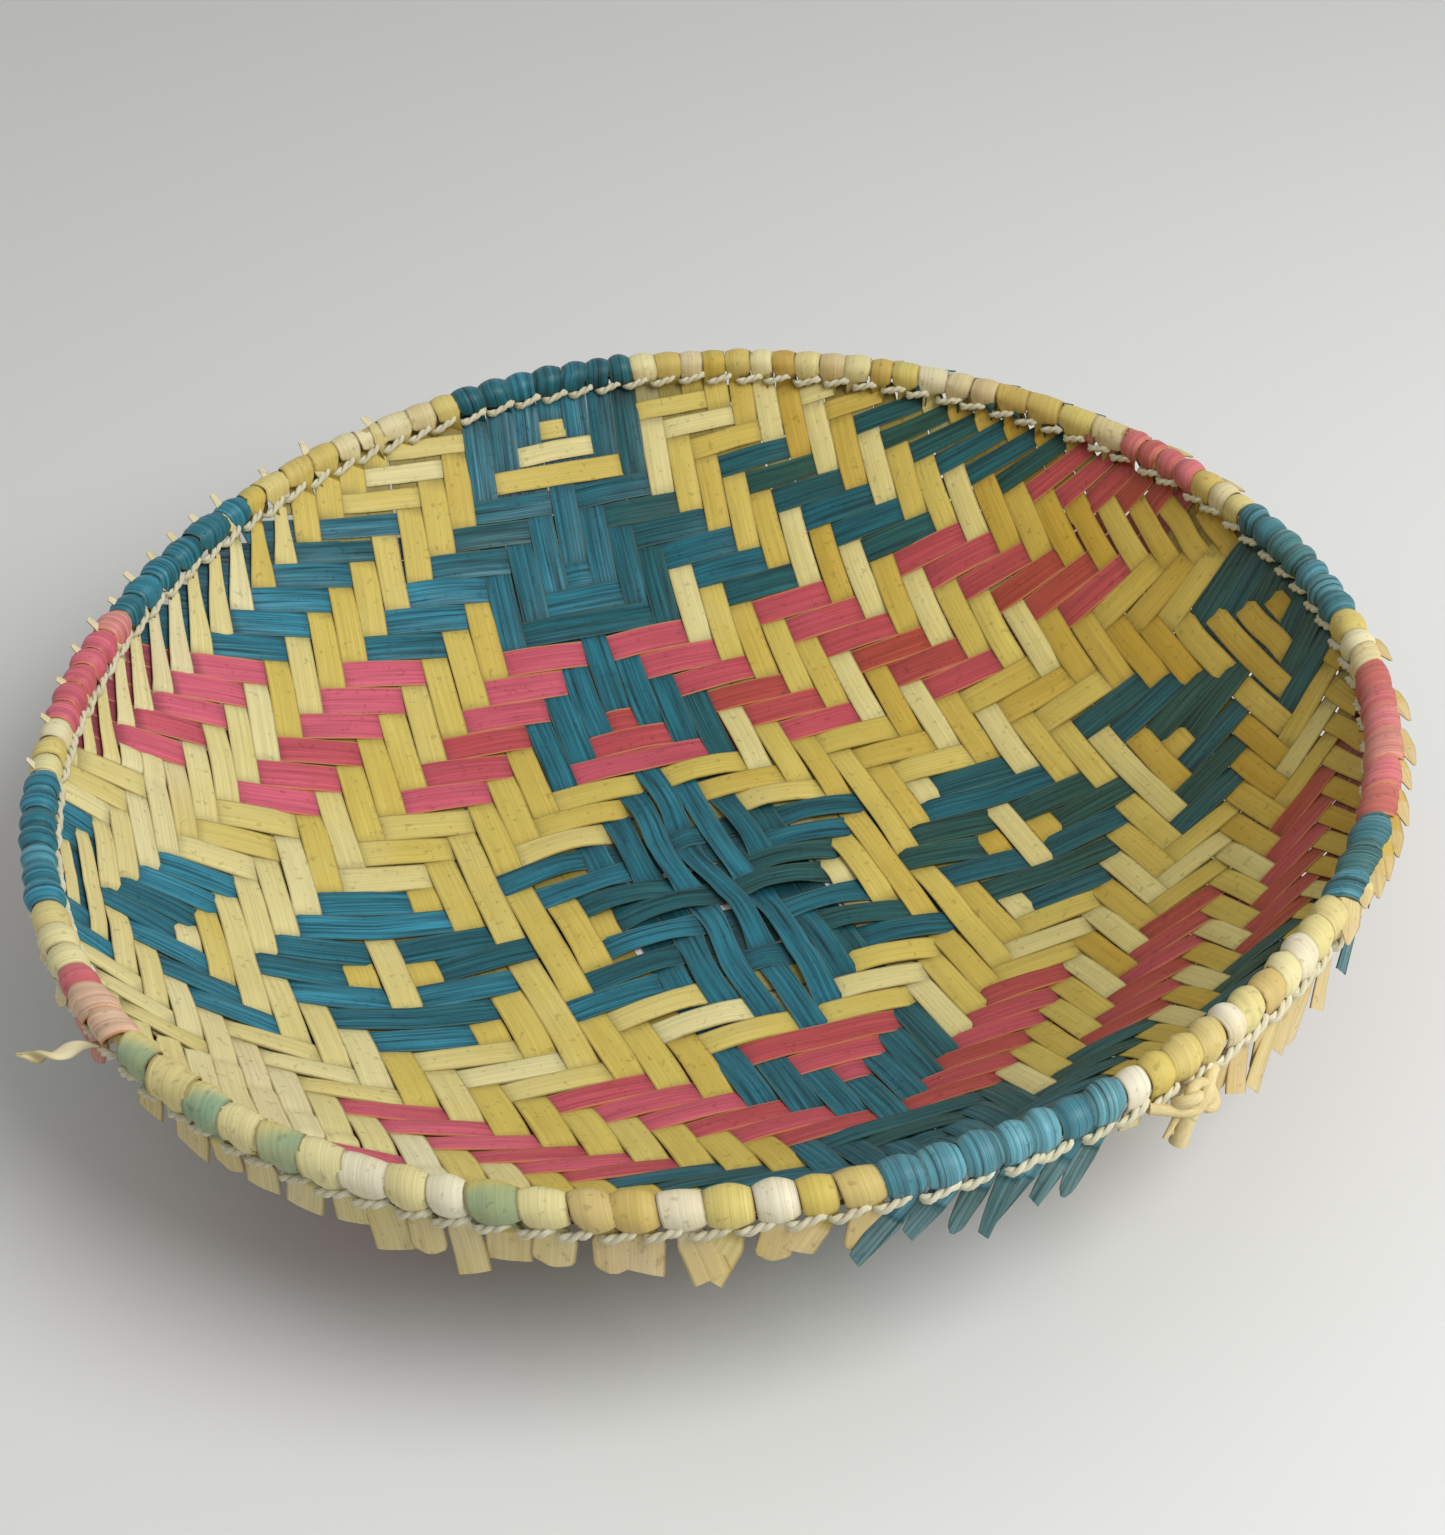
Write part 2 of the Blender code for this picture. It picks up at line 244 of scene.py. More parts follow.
def feedAll(end, values):
    for label, value in values.items():
        feed(value, end.inputs[label])
    return end.id_data


def readAttribute(tree, name, kind="FLOAT"):
    node = addNode(tree, "GeometryNodeInputNamedAttribute", {"Name": name}, data_type=kind)
    return output(node, "Attribute")


def storeAttribute(geometry, name, value, kind="FLOAT", domain="POINT"):
    return output(addNode(geometry.tree, "GeometryNodeStoreNamedAttribute", {
        "Geometry": geometry, "Name": name, "Value": value}, data_type=kind, domain=domain))


def combine(tree, x, y, z):
    return output(addNode(tree, "ShaderNodeCombineXYZ", {"X": x, "Y": y, "Z": z}))


def vectorMath(operation, first, second=None):
    node = addNode(first.tree, "ShaderNodeVectorMath", operation=operation)
    feed(first, node.inputs[0])
    if second is not None:
        feed(second, node.inputs["Scale" if operation == "SCALE" else 1])
    return output(node, "Vector")


def shaderValue(tree, name, part="Fac"):  # an attribute as a material reads it
    return output(addNode(tree, "ShaderNodeAttribute", attribute_name=name), part)


def noise(tree, place, scale, detail, roughness=0.5, dimensions="3D"):
    sockets = {"Vector": place, "Scale": scale, "Detail": detail, "Roughness": roughness}
    return output(addNode(tree, "ShaderNodeTexNoise", sockets, noise_dimensions=dimensions))


def mixColours(factor, first, second):
    node = addNode(factor.tree, "ShaderNodeMix", data_type="RGBA")
    for index, value in ((0, factor), (6, first), (7, second)):
        feed(value, node.inputs[index])
    return output(node, 2)


surface = {
    "outputs": {"Colour": "Color", "Roughness": "Float", "Height": "Float"},
    "bumpStrength": 0.5,
    "shine": 0.28,
}


def makeMaterial(name, group, depth, values):
    material = bpy.data.materials.new(name)
    material.use_nodes = True
    tree = material.node_tree
    shader = tree.nodes["Principled BSDF"]
    look = addNode(tree, "ShaderNodeGroup", node_tree=group)
    feedAll(look, values)
    bump = addNode(tree, "ShaderNodeBump", {
        "Height": output(look, "Height"), "Strength": surface["bumpStrength"], "Distance": depth})
    feedAll(shader, {
        "Base Color": output(look, "Colour"), "Roughness": output(look, "Roughness"),
        "Normal": output(bump), "Specular IOR Level": surface["shine"]})
    return material


# Materials: every leaf strip is drawn from the same group, fed with its own colours and amounts.
leafLook = {
    "colours": ("Pale Colour", "Main Colour", "Deep Colour",
                "Edge Colour", "Bleached Colour", "Stained Colour"),
    "amounts": ("Edge Amount", "Side Shift", "Fibre Contrast", "Rib Contrast", "Base Roughness"),
    # The fourth colour of each is its edge colour: the natural strips' dark brown one is painted shade
    # between the strips, the dyed strips' paler ones are their own edge colour.
    "natural": (((0.87, 0.83, 0.60), (0.81, 0.73, 0.37), (0.74, 0.60, 0.20),
                 (0.42, 0.31, 0.12), (0.90, 0.87, 0.77), (0.52, 0.64, 0.53)), (0.50, 0.34, 0.45, 0.30, 0.55)),
    "teal": (((0.16, 0.46, 0.54), (0.07, 0.32, 0.36), (0.11, 0.26, 0.21),
              (0.30, 0.36, 0.28), (0.41, 0.62, 0.66), (0.35, 0.46, 0.47)), (0.45, 0.55, 1.9, 2.2, 0.48)),
    "pink": (((0.80, 0.37, 0.45), (0.71, 0.29, 0.32), (0.64, 0.27, 0.19),
              (0.78, 0.52, 0.33), (0.87, 0.76, 0.62), (0.72, 0.45, 0.36)), (0.80, 0.55, 0.80, 0.80, 0.48)),
    "fibresPerMetre": (2600.0, 31.2),     # across the strip and along it
    "ribsPerMetre": (1000.0, 30.0),
    "blotchScale": 60.0,
    "blotchShift": 0.35,
    "patchiness": 1.6,
    "speckScale": 520.0,
    "speckDarkness": 0.22,
    "fibreDepth": 0.00012,
    "hollowDarkness": 0.55,               # how dark the painted shade is where a strip goes under the others
}


def buildLeafGroup():
    kinds = {**dict.fromkeys(leafLook["colours"], "Color"), **dict.fromkeys(leafLook["amounts"], "Float")}
    tree, take, end = newTree("leaf strip", "ShaderNodeTree", kinds, surface["outputs"])
    uv = output(addNode(tree, "ShaderNodeUVMap", uv_map="UVMap"))
    place = output(addNode(tree, "ShaderNodeTexCoord"), "Object")

    def streaks(perMetre, detail, roughness):
        stretched = output(addNode(tree, "ShaderNodeMapping", {"Vector": uv, "Scale": (*perMetre, 1.0)}))
        return noise(tree, stretched, 1.0, detail, roughness, "2D")

    fibre = streaks(leafLook["fibresPerMetre"], 3.0, 0.6)
    ribs = streaks(leafLook["ribsPerMetre"], 2.0, 0.5)
    blotch = noise(tree, place, leafLook["blotchScale"], 4.0) - 0.5
    speck = noise(tree, place, leafLook["speckScale"], 2.0)
    side = output(addNode(tree, "ShaderNodeSeparateXYZ", {"Vector": place}), "X") / hoop["ringRadius"]
    # The colour deepens and darkens towards the right: partly the strips' own tone, partly painted shade on
    # the bowl's right side.
    shade = shaderValue(tree, "tone") + blotch * leafLook["blotchShift"] + side * take["Side Shift"]
    fresh = mixColours(clampField(shade * 2.0), take["Pale Colour"], take["Main Colour"])
    fresh = mixColours(clampField(shade * 2.0 - 1.0), fresh, take["Deep Colour"])
    ageing = shaderValue(tree, "ageing")
    patchy = ageing + blotch * leafLook["patchiness"] * calculate("ABSOLUTE", ageing)
    aged = mixColours(clampField(patchy), fresh, take["Bleached Colour"])
    aged = mixColours(clampField(patchy * -1.0), aged, take["Stained Colour"])
    streak = (fibre - 0.5) * take["Fibre Contrast"] + (ribs - 0.5) * take["Rib Contrast"]
    # Painted shade: the colour is darkened where a strip goes under the others and where a fold tucks under
    # the binding.
    brightness = (1.0 + streak) * (1.0 - shaderValue(tree, "hollow") * leafLook["hollowDarkness"])
    specks = smoothStep((speck - 0.62) * 12.0)
    lit = output(addNode(tree, "ShaderNodeHueSaturation", {
        "Color": aged, "Value": brightness * (1.0 - specks * leafLook["speckDarkness"])}))
    # Near its edges a strip turns to its edge colour: for the natural strips a dark brown that is painted
    # shade between the strips, for the dyed strips their own paler edge.
    edge = smoothStep((shaderValue(tree, "edge") - 0.84) * 7.0 + (ribs - 0.5) * 1.2)
    return feedAll(end, {
        "Colour": mixColours(edge * take["Edge Amount"], lit, take["Edge Colour"]),
        "Roughness": clampField(take["Base Roughness"] - streak * 0.2 + specks * 0.1),
        "Height": fibre * 0.6 + ribs * 0.7})


leafGroup = buildLeafGroup()
leafMaterials = {}
for dye in ("natural", "teal", "pink"):
    colours, amounts = leafLook[dye]
    values = {label: paint(*colour) for label, colour in zip(leafLook["colours"], colours)}
    values.update(zip(leafLook["amounts"], amounts))
    leafMaterials[dye] = makeMaterial(f"{dye} leaf", leafGroup, leafLook["fibreDepth"], values)

cordLook = {
    "fibreScale": 3.0,
    "fibreStretch": 260.0,
    "fibreNoise": 2.2,
    "blotchScale": 90.0,
    "depth": 0.00015,
    "binding fibre": ((0.88, 0.86, 0.76), (0.72, 0.68, 0.52), 0.72),
    "hoop cane": ((0.78, 0.69, 0.45), (0.56, 0.45, 0.26), 0.55),
    "peeled end": ((0.88, 0.81, 0.60), (0.74, 0.64, 0.42), 0.6),
}


def buildFibreGroup():
    tree, take, end = newTree("plant fibre", "ShaderNodeTree", {
        "Light Colour": "Color", "Dark Colour": "Color", "Base Roughness": "Float"}, surface["outputs"])
    around = vectorMath("SCALE", shaderValue(tree, "side", "Vector"), cordLook["fibreScale"])
    along = combine(tree, 0.0, 0.0, shaderValue(tree, "lengthSoFar") * cordLook["fibreStretch"])
    fibre = noise(tree, vectorMath("ADD", around, along), cordLook["fibreNoise"], 4.0)
    place = output(addNode(tree, "ShaderNodeTexCoord"), "Object")
    blotch = noise(tree, place, cordLook["blotchScale"], 2.0)
    shade = clampField(fibre * 1.5 - 0.5 + (blotch - 0.5) * 0.9)
    return feedAll(end, {
        "Colour": mixColours(shade, take["Light Colour"], take["Dark Colour"]),
        "Roughness": take["Base Roughness"] + (fibre - 0.5) * 0.2, "Height": fibre})


fibreGroup = buildFibreGroup()
cordMaterials = {}
for name in ("binding fibre", "hoop cane", "peeled end"):
    pale, dark, roughness = cordLook[name]
    cordMaterials[name] = makeMaterial(name, fibreGroup, cordLook["depth"], {
        "Light Colour": paint(*pale), "Dark Colour": paint(*dark), "Base Roughness": roughness})


# A Geometry Nodes tree that lays a ribbon along each guide. A guide is a row of points that carry the
# ribbon's whole width as a vector, how far its middle stands out, and its length so far.
def buildRibbonTree():
    tree, take, end = newTree("leaf ribbons", "GeometryNodeTree", {
        "Geometry": "Geometry", "Columns": "Int", "Rows": "Int", "Crease": "Float", "Fray": "Float",
        "Seed": "Float", "Material": "Material"}, {"Geometry": "Geometry"})
    grid = output(addNode(tree, "GeometryNodeMeshGrid", {
        "Size X": 1.0, "Size Y": 1.0, "Vertices X": take["Columns"], "Vertices Y": take["Rows"]}))
    position = output(addNode(tree, "GeometryNodeInputPosition"))
    marked = storeAttribute(grid, "gridPlace", position, "FLOAT_VECTOR")
    spread = addNode(tree, "GeometryNodeInstanceOnPoints", {
        "Points": take["Geometry"], "Instance": marked, "Selection": readAttribute(tree, "isFirst")})
    laid = output(addNode(tree, "GeometryNodeRealizeInstances", {"Geometry": output(spread)}))
    strip = readAttribute(tree, "strip")
    parts = addNode(tree, "ShaderNodeSeparateXYZ", {
        "Vector": readAttribute(tree, "gridPlace", "FLOAT_VECTOR")})
    fromStart = calculate("ROUND", (output(parts, "Y") + 0.5) * (take["Rows"] - 1.0))
    row = readAttribute(tree, "firstIndex") + fromStart

    def fromGuide(name, kind="FLOAT_VECTOR"):
        value = position if name == "position" else readAttribute(tree, name, kind)
        node = addNode(tree, "GeometryNodeSampleIndex", {
            "Geometry": take["Geometry"], "Index": row, "Value": value}, data_type=kind, domain="POINT")
        return output(node, "Value")

    length = fromGuide("lengthSoFar", "FLOAT")
    ragged = noise(tree, combine(tree, strip * 3.71, length * 140.0, take["Seed"]), 1.0, 1.0)
    side = output(parts, "X")
    across = side * (1.0 + (ragged - 0.5) * take["Fray"])
    ridge = calculate("COSINE", across * (2.0 * fullTurn) + strip) * take["Crease"]
    middle = vectorMath("ADD", fromGuide("position"), vectorMath("SCALE", fromGuide("across"), across))
    crowned = vectorMath("SCALE", fromGuide("outward"), 1.0 - across * across * 4.0)
    creased = vectorMath("SCALE", vectorMath("NORMALIZE", fromGuide("facing")), ridge)
    shaped = output(addNode(tree, "GeometryNodeSetPosition", {
        "Geometry": laid, "Position": vectorMath("ADD", vectorMath("ADD", middle, crowned), creased)}))
    shaped = storeAttribute(shaped, "edge", calculate("ABSOLUTE", side) * 2.0)
    for name in ("ageing", "hollow", "tone"):
        shaped = storeAttribute(shaped, name, fromGuide(name, "FLOAT"))
    uv = combine(tree, across * fromGuide("width", "FLOAT") + strip * 0.0131, length + strip * 0.37, 0.0)
    mapped = storeAttribute(shaped, "UVMap", uv, "FLOAT2", "CORNER")
    finished = addNode(tree, "GeometryNodeSetMaterial", {"Geometry": mapped, "Material": take["Material"]})
    return feedAll(end, {"Geometry": output(finished)})


# And one that lays a round cord along each line of points, its thickness shared out by the points.
def buildCordTree():
    tree, take, end = newTree("cord", "GeometryNodeTree", {
        "Geometry": "Geometry", "Sides": "Int", "Radius": "Float", "Material": "Material"},
        {"Geometry": "Geometry"})
    line = output(addNode(tree, "GeometryNodeMeshToCurve", {"Mesh": take["Geometry"]}))
    length = output(addNode(tree, "GeometryNodeSplineParameter"), "Length")
    circle = output(addNode(tree, "GeometryNodeCurvePrimitiveCircle", {
        "Resolution": take["Sides"], "Radius": take["Radius"]}))
    side = vectorMath("NORMALIZE", output(addNode(tree, "GeometryNodeInputPosition")))
    swept = addNode(tree, "GeometryNodeCurveToMesh", {
        "Curve": storeAttribute(line, "lengthSoFar", length),
        "Profile Curve": storeAttribute(circle, "side", side, "FLOAT_VECTOR"),
        "Scale": readAttribute(tree, "thickness"), "Fill Caps": True})
    finished = addNode(tree, "GeometryNodeSetMaterial", {
        "Geometry": output(swept), "Material": take["Material"]})
    realized = addNode(tree, "GeometryNodeRealizeInstances", {"Geometry": output(finished)})
    return feedAll(end, {"Geometry": output(realized)})


ribbonTree = buildRibbonTree()
cordTree = buildCordTree()
print("materials and trees made")


def putIn(name, data):
    made = bpy.data.objects.new(name, data)
    bpy.context.scene.collection.objects.link(made)
    return made


def makePointMesh(name, points, edges=()):  # each point has its place and what else it carries
    mesh = bpy.data.meshes.new(name)
    mesh.from_pydata([tuple(point["place"]) for point in points], edges, [])
    for label in [label for label in points[0] if label != "place"]:
        values = [point[label] for point in points]
        if isinstance(values[0], float):
            mesh.attributes.new(label, "FLOAT", "POINT").data.foreach_set("value", values)
        else:
            layer = mesh.attributes.new(label, "FLOAT_VECTOR", "POINT")
            layer.data.foreach_set("vector", [part for value in values for part in value])
    return putIn(name, mesh)


def setModifier(made, tree, values):
    modifier = made.modifiers.new(tree.name, "NODES")
    modifier.node_group = tree
    sockets = {item.name: item.identifier for item in tree.interface.items_tree if item.in_out == "INPUT"}
    for label, value in values.items():
        modifier[sockets[label]] = value


pieces = {}


def finishPiece(made, sharpAngle):  # turns what the modifiers make into a plain mesh
    evaluated = made.evaluated_get(bpy.context.evaluated_depsgraph_get())
    mesh = bpy.data.meshes.new_from_object(evaluated)
    made.modifiers.clear()
    old = made.data
    made.data = mesh
    bpy.data.batch_remove([old])
    mesh.name = made.name
    mesh.polygons.foreach_set("use_smooth", [True] * len(mesh.polygons))
    mesh.set_sharp_from_angle(angle=math.radians(sharpAngle))
    pieces[made.name] = made
    print(made.name, len(mesh.polygons), "faces")


strips = {
    "columns": 7,
    "matRows": 176,
    "foldRows": 27,
    "thickness": 0.00032,
    "sharpAngle": 50.0,
    "cover": 0.985,                       # a strip's width against the room it has
    "breadth": (0.96, 1.05),
    "middleNarrowing": 0.25,
    "outerShare": 0.4,                    # how much of that the strips outside the middle ones have
    "middleRadius": 0.075,
    "taper": 0.18,                        # how much the strips that run along the rim narrow there
    "leftTaper": 0.48,
    "shownTaper": -0.03,
    "rimGather": 0.030,                   # how far from the rim they begin to
    "leftGather": 0.012,
    "holdTurns": (math.radians(126.0), math.radians(238.0)),
    "holdDepth": (0.010, 0.022),          # how far from the rim the warps lie on top there, first and last
    "holdEase": 0.005,
    "holdSpread": 0.0025,
    "heldLevel": -1.6,
    "leftBleach": (0.0, 0.5),
    "lift": 0.00050,
    "looseness": 0.0011,
    "topCrown": 0.00042,                  # how much a strip bulges where it's on top, and where it's under
    "underCrown": 0.00010,
    "crownSink": 0.4,
    "crease": 0.00003,
    "drifts": 14,
    "wander": 0.055,
    "middleWander": 4.5,
    "fray": 0.05,
}


def ontoStrip(number, strip, x, y):
    growth = climb(number, x, y)
    step = (strip - number(x, y)) / (growth[0] ** 2 + growth[1] ** 2)
    return x + growth[0] * step, y + growth[1] * step


def walkStrip(number, strip, place, way, goesOn):
    found = [place]
    while goesOn(found):
        x, y = found[-1]
        growth = climb(number, x, y)
        step = way * mat["walkStep"] / math.hypot(*growth)
        found.append(ontoStrip(number, strip, x - growth[1] * step, y + growth[0] * step))
    return found


# The strip's line in plan, from one end at the rim to the other, or nothing where it misses the bowl.
def stripLine(isWeft, strip):
    number = weftNumber if isWeft else warpNumber
    if isWeft:
        place = (0.0, strip * mat["unit"] / mat["weftsPerUnit"])
    else:
        place = (strip * mat["unit"] / mat["warpsPerUnit"], 0.0)
    for settling in range(8):
        place = ontoStrip(number, strip, *place)

    def isNearing(found):
        return len(found) < 2 or math.hypot(*found[-1]) < math.hypot(*found[-2])

    def isInside(found):
        return math.hypot(*found[-1]) < bowl["pinchRadius"]

    for way in (-1.0, 1.0):
        place = walkStrip(number, strip, place, way, isNearing)[-2]
    if math.hypot(*place) > bowl["pinchRadius"] - mat["leastReach"]:
        return None
    ends = [walkStrip(number, strip, place, way, isInside) for way in (-1.0, 1.0)]
    return ends[0][:0:-1] + ends[1]


def resample(line, count):  # the same line with its points evenly spaced
    lengths = [0.0]
    for one, other in zip(line, line[1:]):
        lengths.append(lengths[-1] + math.dist(one, other))
    found = []
    index = 0
    for step in range(count):
        wanted = lengths[-1] * step / (count - 1)
        while index < len(line) - 2 and lengths[index + 1] < wanted:
            index += 1
        share = (wanted - lengths[index]) / (lengths[index + 1] - lengths[index])
        found.append(tuple(a + (b - a) * share for a, b in zip(line[index], line[index + 1])))
    return found


def smoothLine(points, perSpan=6):  # Catmull-Rom through the points
    dense = []
    for index in range(len(points) - 1):
        before, start, finish = points[max(index - 1, 0)], points[index], points[index + 1]
        after = points[min(index + 2, len(points) - 1)]
        for step in range(perSpan):
            t = step / perSpan
            dense.append(tuple(
                0.5 * (2.0 * b + (c - a) * t + (2.0 * a - 5.0 * b + 4.0 * c - d) * t * t
                       + (3.0 * b - a - 3.0 * c + d) * t ** 3)
                for a, b, c, d in zip(before, start, finish, after)))
    return dense + [tuple(points[-1])]


def stripDye(isWeft, strip):
    number = abs(strip)
    if number <= 3:
        return "teal"
    if not isWeft or number <= 6 or number >= 19:
        return "natural"
    return "pink" if number <= 12 else "teal"


def drawTone(dye, chance):
    pick = chance.random()
    if dye != "natural":
        return 0.25 + 0.50 * pick
    if pick < 0.10:
        return 0.05
    return 0.34 + 0.30 * chance.random() if pick < 0.85 else 0.72


def waver(chance, count):  # a smooth wandering number, near zero
    knots = [chance.uniform(-1.0, 1.0) for knot in range(count)]

    def at(share):
        place = share * (count - 1.001)
        index = int(place)
        return between(knots[index], knots[index + 1], easeShare(place - index))
    return at


# The rim: where each end comes up to the hoop, which of them show, and how each folds over it.
rim = {
    "shownTurns": (math.radians(-50.0), math.radians(26.0), math.radians(121.0), math.radians(199.5)),
    "leftTurn": math.radians(166.0),
    "leftReach": math.radians(48.0),
    "beadRadius": 0.00285,
    "beadSpread": (0.97, 1.05),
    "underRadius": 0.00252,
    "squash": 0.80,                       # a bead's height against its breadth
    "beadCrown": {"natural": (0.0007, 0.0013), "teal": (0.0009, 0.0014), "pink": (0.0009, 0.0014)},
    "backCrown": 0.65,                    # how much flatter the undyed beads are at the back
    "underCrown": 0.3,
    "pinchCrown": 0.00030,
    "pinchUp": -0.0039,                   # where the binding holds the folds, below the hoop's centre line
    "beadShare": 0.97,
    "mostBead": 0.0105,                   # a wider gap between two beads gets another one
    "widestBead": 0.0125,
    "leastBead": 0.0036,
    "underWidth": 0.0048,
    "gapMiddle": (0.28, 0.72),
    "stray": 0.0013,
    "mostSlant": 3.0,                     # an end that runs along the rim more than this doesn't show
    "leastRadial": 0.3,
    "slant": 0.5,                         # how much a bead follows its strip's slant at the front
    "backSlant": 0.18,
    "slantLimit": 1.2,
    "slantSpread": 0.14,
    "slantCentre": 0.006,
    "neck": 0.0058,
    "settleLength": 0.005,
    "tipless": (188.0, 310.0),            # no hidden end has a tip between these degrees
    "rightTip": {"angle": 20, "reach": (0.0042, 0.0066), "out": 0.75, "up": -0.2,
                 "width": 0.95, "taper": 0.82, "neckTaper": 0.05},
    "leftTip": {"angle": 50, "reach": (0.0028, 0.0050), "out": 0.50, "up": 0.85,
                "width": 0.50, "taper": 0.18, "neckTaper": 0.50},
    "tipLean": 0.9,
    # The tails from each number of degrees on: shortest and longest, how far they stand off, and which way
    # they lean.
    "tails": (
        (0.0, 0.010, 0.015, 0.05, -0.85),
        (30.0, 0.003, 0.007, 0.30, 0.15),
        (208.0, 0.007, 0.011, 0.10, -0.05),
        (225.0, 0.008, 0.013, 0.12, 0.05),
        (252.0, 0.008, 0.015, 0.12, -0.40),
        (284.0, 0.003, 0.004, 0.0, -0.2),
        (292.0, 0.008, 0.015, 0.12, -0.40),
        (300.0, 0.010, 0.015, 0.05, -0.85),
    ),
    "leanSpread": 0.25,
    "flareSpread": (-0.10, 0.12),
    "cuts": (0.0, 0.0, 0.3, -0.3, 0.5),
    "cutLength": 0.0035,
    "tealLean": 0.45,
    "tealTaper": 0.55,
    "bleachedEnds": (-22, -15, -13, -8, -6, 4, 8, 12),
    "greenEnds": (-21, -19, -17, -12),
    "bleachedWefts": (196.0, 232.0),
    "rightFade": {"pink": 0.08, "teal": 0.35},
    "paler": {"natural": 0.25, "teal": 0.25, "pink": 0.60},
    "chance": random.Random(31),
}


def hoopPlace(turn, outward, up, aside):  # a place seen from the hoop's centre line
    turn += aside / hoop["ringRadius"]
    radius = hoop["ringRadius"] + outward
    return Vector((radius * math.cos(turn), radius * math.sin(turn), hoop["height"] + rimLift(turn) + up))


def isShown(isWeft, turn):
    first, second, third, fourth = rim["shownTurns"]
    isSide = turnBetween(first, turn) < second - first or turnBetween(third, turn) < fourth - third
    return isSide == isWeft


def isLeft(turn):
    return abs(turn % fullTurn - rim["leftTurn"]) < rim["leftReach"]


# Near the rim at the left the warps lie on top of the dyed wefts.
def warpsHeld(turn, fromRim):
    first, last = strips["holdTurns"]
    share = turnBetween(first, turn) / (last - first)
    if share > 1.0:
        return 0.0
    edges = easeShare(share / 0.1) * easeShare((1.0 - share) / 0.1)
    return easeShare((between(*strips["holdDepth"], share) - fromRim) / strips["holdEase"]) * edges


heldCrossings = {}


# It's settled for a weft's whole float at once.
def isHeld(warp, weft, x, y):
    if abs(weft) <= mat["medallionWeft"] or stripDye(True, weft) == "natural":
        return False
    if (warp, weft) not in heldCrossings:
        offset = (twillCount(warp, weft) + 1) % (2 * mat["floatLength"]) - mat["floatLength"]
        middle = warp + offset if abs(offset) < 2 else warp
        for settling in range(6):
            x, y = ontoStrip(warpNumber, middle, x, y)
            x, y = ontoStrip(weftNumber, weft, x, y)
        spread = strips["holdSpread"] * math.sin(middle * 2.4)
        fromRim = bowl["pinchRadius"] - math.hypot(x, y) + spread
        heldCrossings[warp, weft] = warpsHeld(math.atan2(y, x), fromRim) > 0.5
    return heldCrossings[warp, weft]


def stripLevel(isWeft, strip, x, y):  # how far it lies above the mat's middle, 1 where it's on top
    along = (warpNumber if isWeft else weftNumber)(x, y)
    warp, weft = (round(along), strip) if isWeft else (strip, round(along))
    if isHeld(warp, weft, x, y):
        return strips["heldLevel"] if isWeft else 1.0
    return -warpLevel(twillCount(along, strip)) if isWeft else warpLevel(twillCount(strip, along))


# The part of a strip's guide that lies in the bowl: points, widths and outward crowns.
def matGuide(member, line, chance):
    isWeft, strip = member["isWeft"], member["strip"]
    number = weftNumber if isWeft else warpNumber
    isMiddle = abs(strip) <= mat["medallionWeft"] + 1
    looseHere, wasOnTop = 0.0, None
    drift = waver(chance, strips["drifts"])
    breadth = chance.uniform(*strips["breadth"])
    bleach = chance.uniform(*strips["leftBleach"])
    rough = [stripLevel(isWeft, strip, x, y) for x, y in line]
    levels = [before * 0.25 + here * 0.5 + after * 0.25
              for before, here, after in zip(rough[:1] + rough[:-1], rough, rough[1:] + rough[-1:])]
    guide = []
    for (x, y), level in zip(line, levels):
        growth = climb(number, x, y)
        pitch = 1.0 / math.hypot(*growth)
        sideways = Vector(growth) * pitch
        radius = math.hypot(x, y)
        fromRim = bowl["pinchRadius"] - radius
        turn = math.atan2(y, x)
        shown = isShown(isWeft, turn)
        gather = strips["leftGather" if isLeft(turn) and not shown else "rimGather"]
        taper = strips["shownTaper" if shown else "leftTaper" if isLeft(turn) else "taper"]
        nearRim = 1.0 - easeShare(fromRim / gather)
        ease = 1.0 - easeShare(radius / strips["middleRadius"])
        if (level > 0.0) != wasOnTop:
            looseHere, wasOnTop = chance.random(), level > 0.0
        onTop = max(level, 0.0)
        narrowing = strips["middleNarrowing"] * (1.0 if isMiddle else strips["outerShare"]) * onTop
        width = pitch * strips["cover"] * breadth * (1.0 - nearRim * taper) * (1.0 - ease * narrowing)
        bow = onTop * onTop * strips["looseness"] * (looseHere * 0.8 + 0.2) * (ease * 1.2 + 0.3)
        lift = level * strips["lift"] * (1.0 - 0.15 * nearRim) + bow * (1.0 - nearRim)
        roaming = strips["wander"] * pitch * (1.0 + strips["middleWander"] * ease * isMiddle)
        middle = Vector((x, y)) + sideways * (drift(len(guide) / len(line)) * roaming)
        edges = []
        for half in (-0.5, 0.0, 0.5):
            spot = middle + sideways * (width * half)
            edges.append(Vector((spot.x, spot.y, bowlHeight(spot.x, spot.y))))
        facing = bowlOutward(x, y)
        base = (edges[0] + edges[2]) / 2.0
        crown = between(strips["underCrown"], strips["topCrown"], onTop)
        # Where the strip goes under the others its colour is darkened: painted shade, the last value below.
        guide.append({
            "place": base + facing * (lift - crown * strips["crownSink"]), "across": edges[2] - edges[0],
            "outward": edges[1] - base + facing * crown, "facing": facing, "tone": member["tone"],
            "ageing": 0.0 if isWeft else bleach * warpsHeld(turn, fromRim * 0.5),
            "hollow": easeShare(0.5 - level)})
    return guide


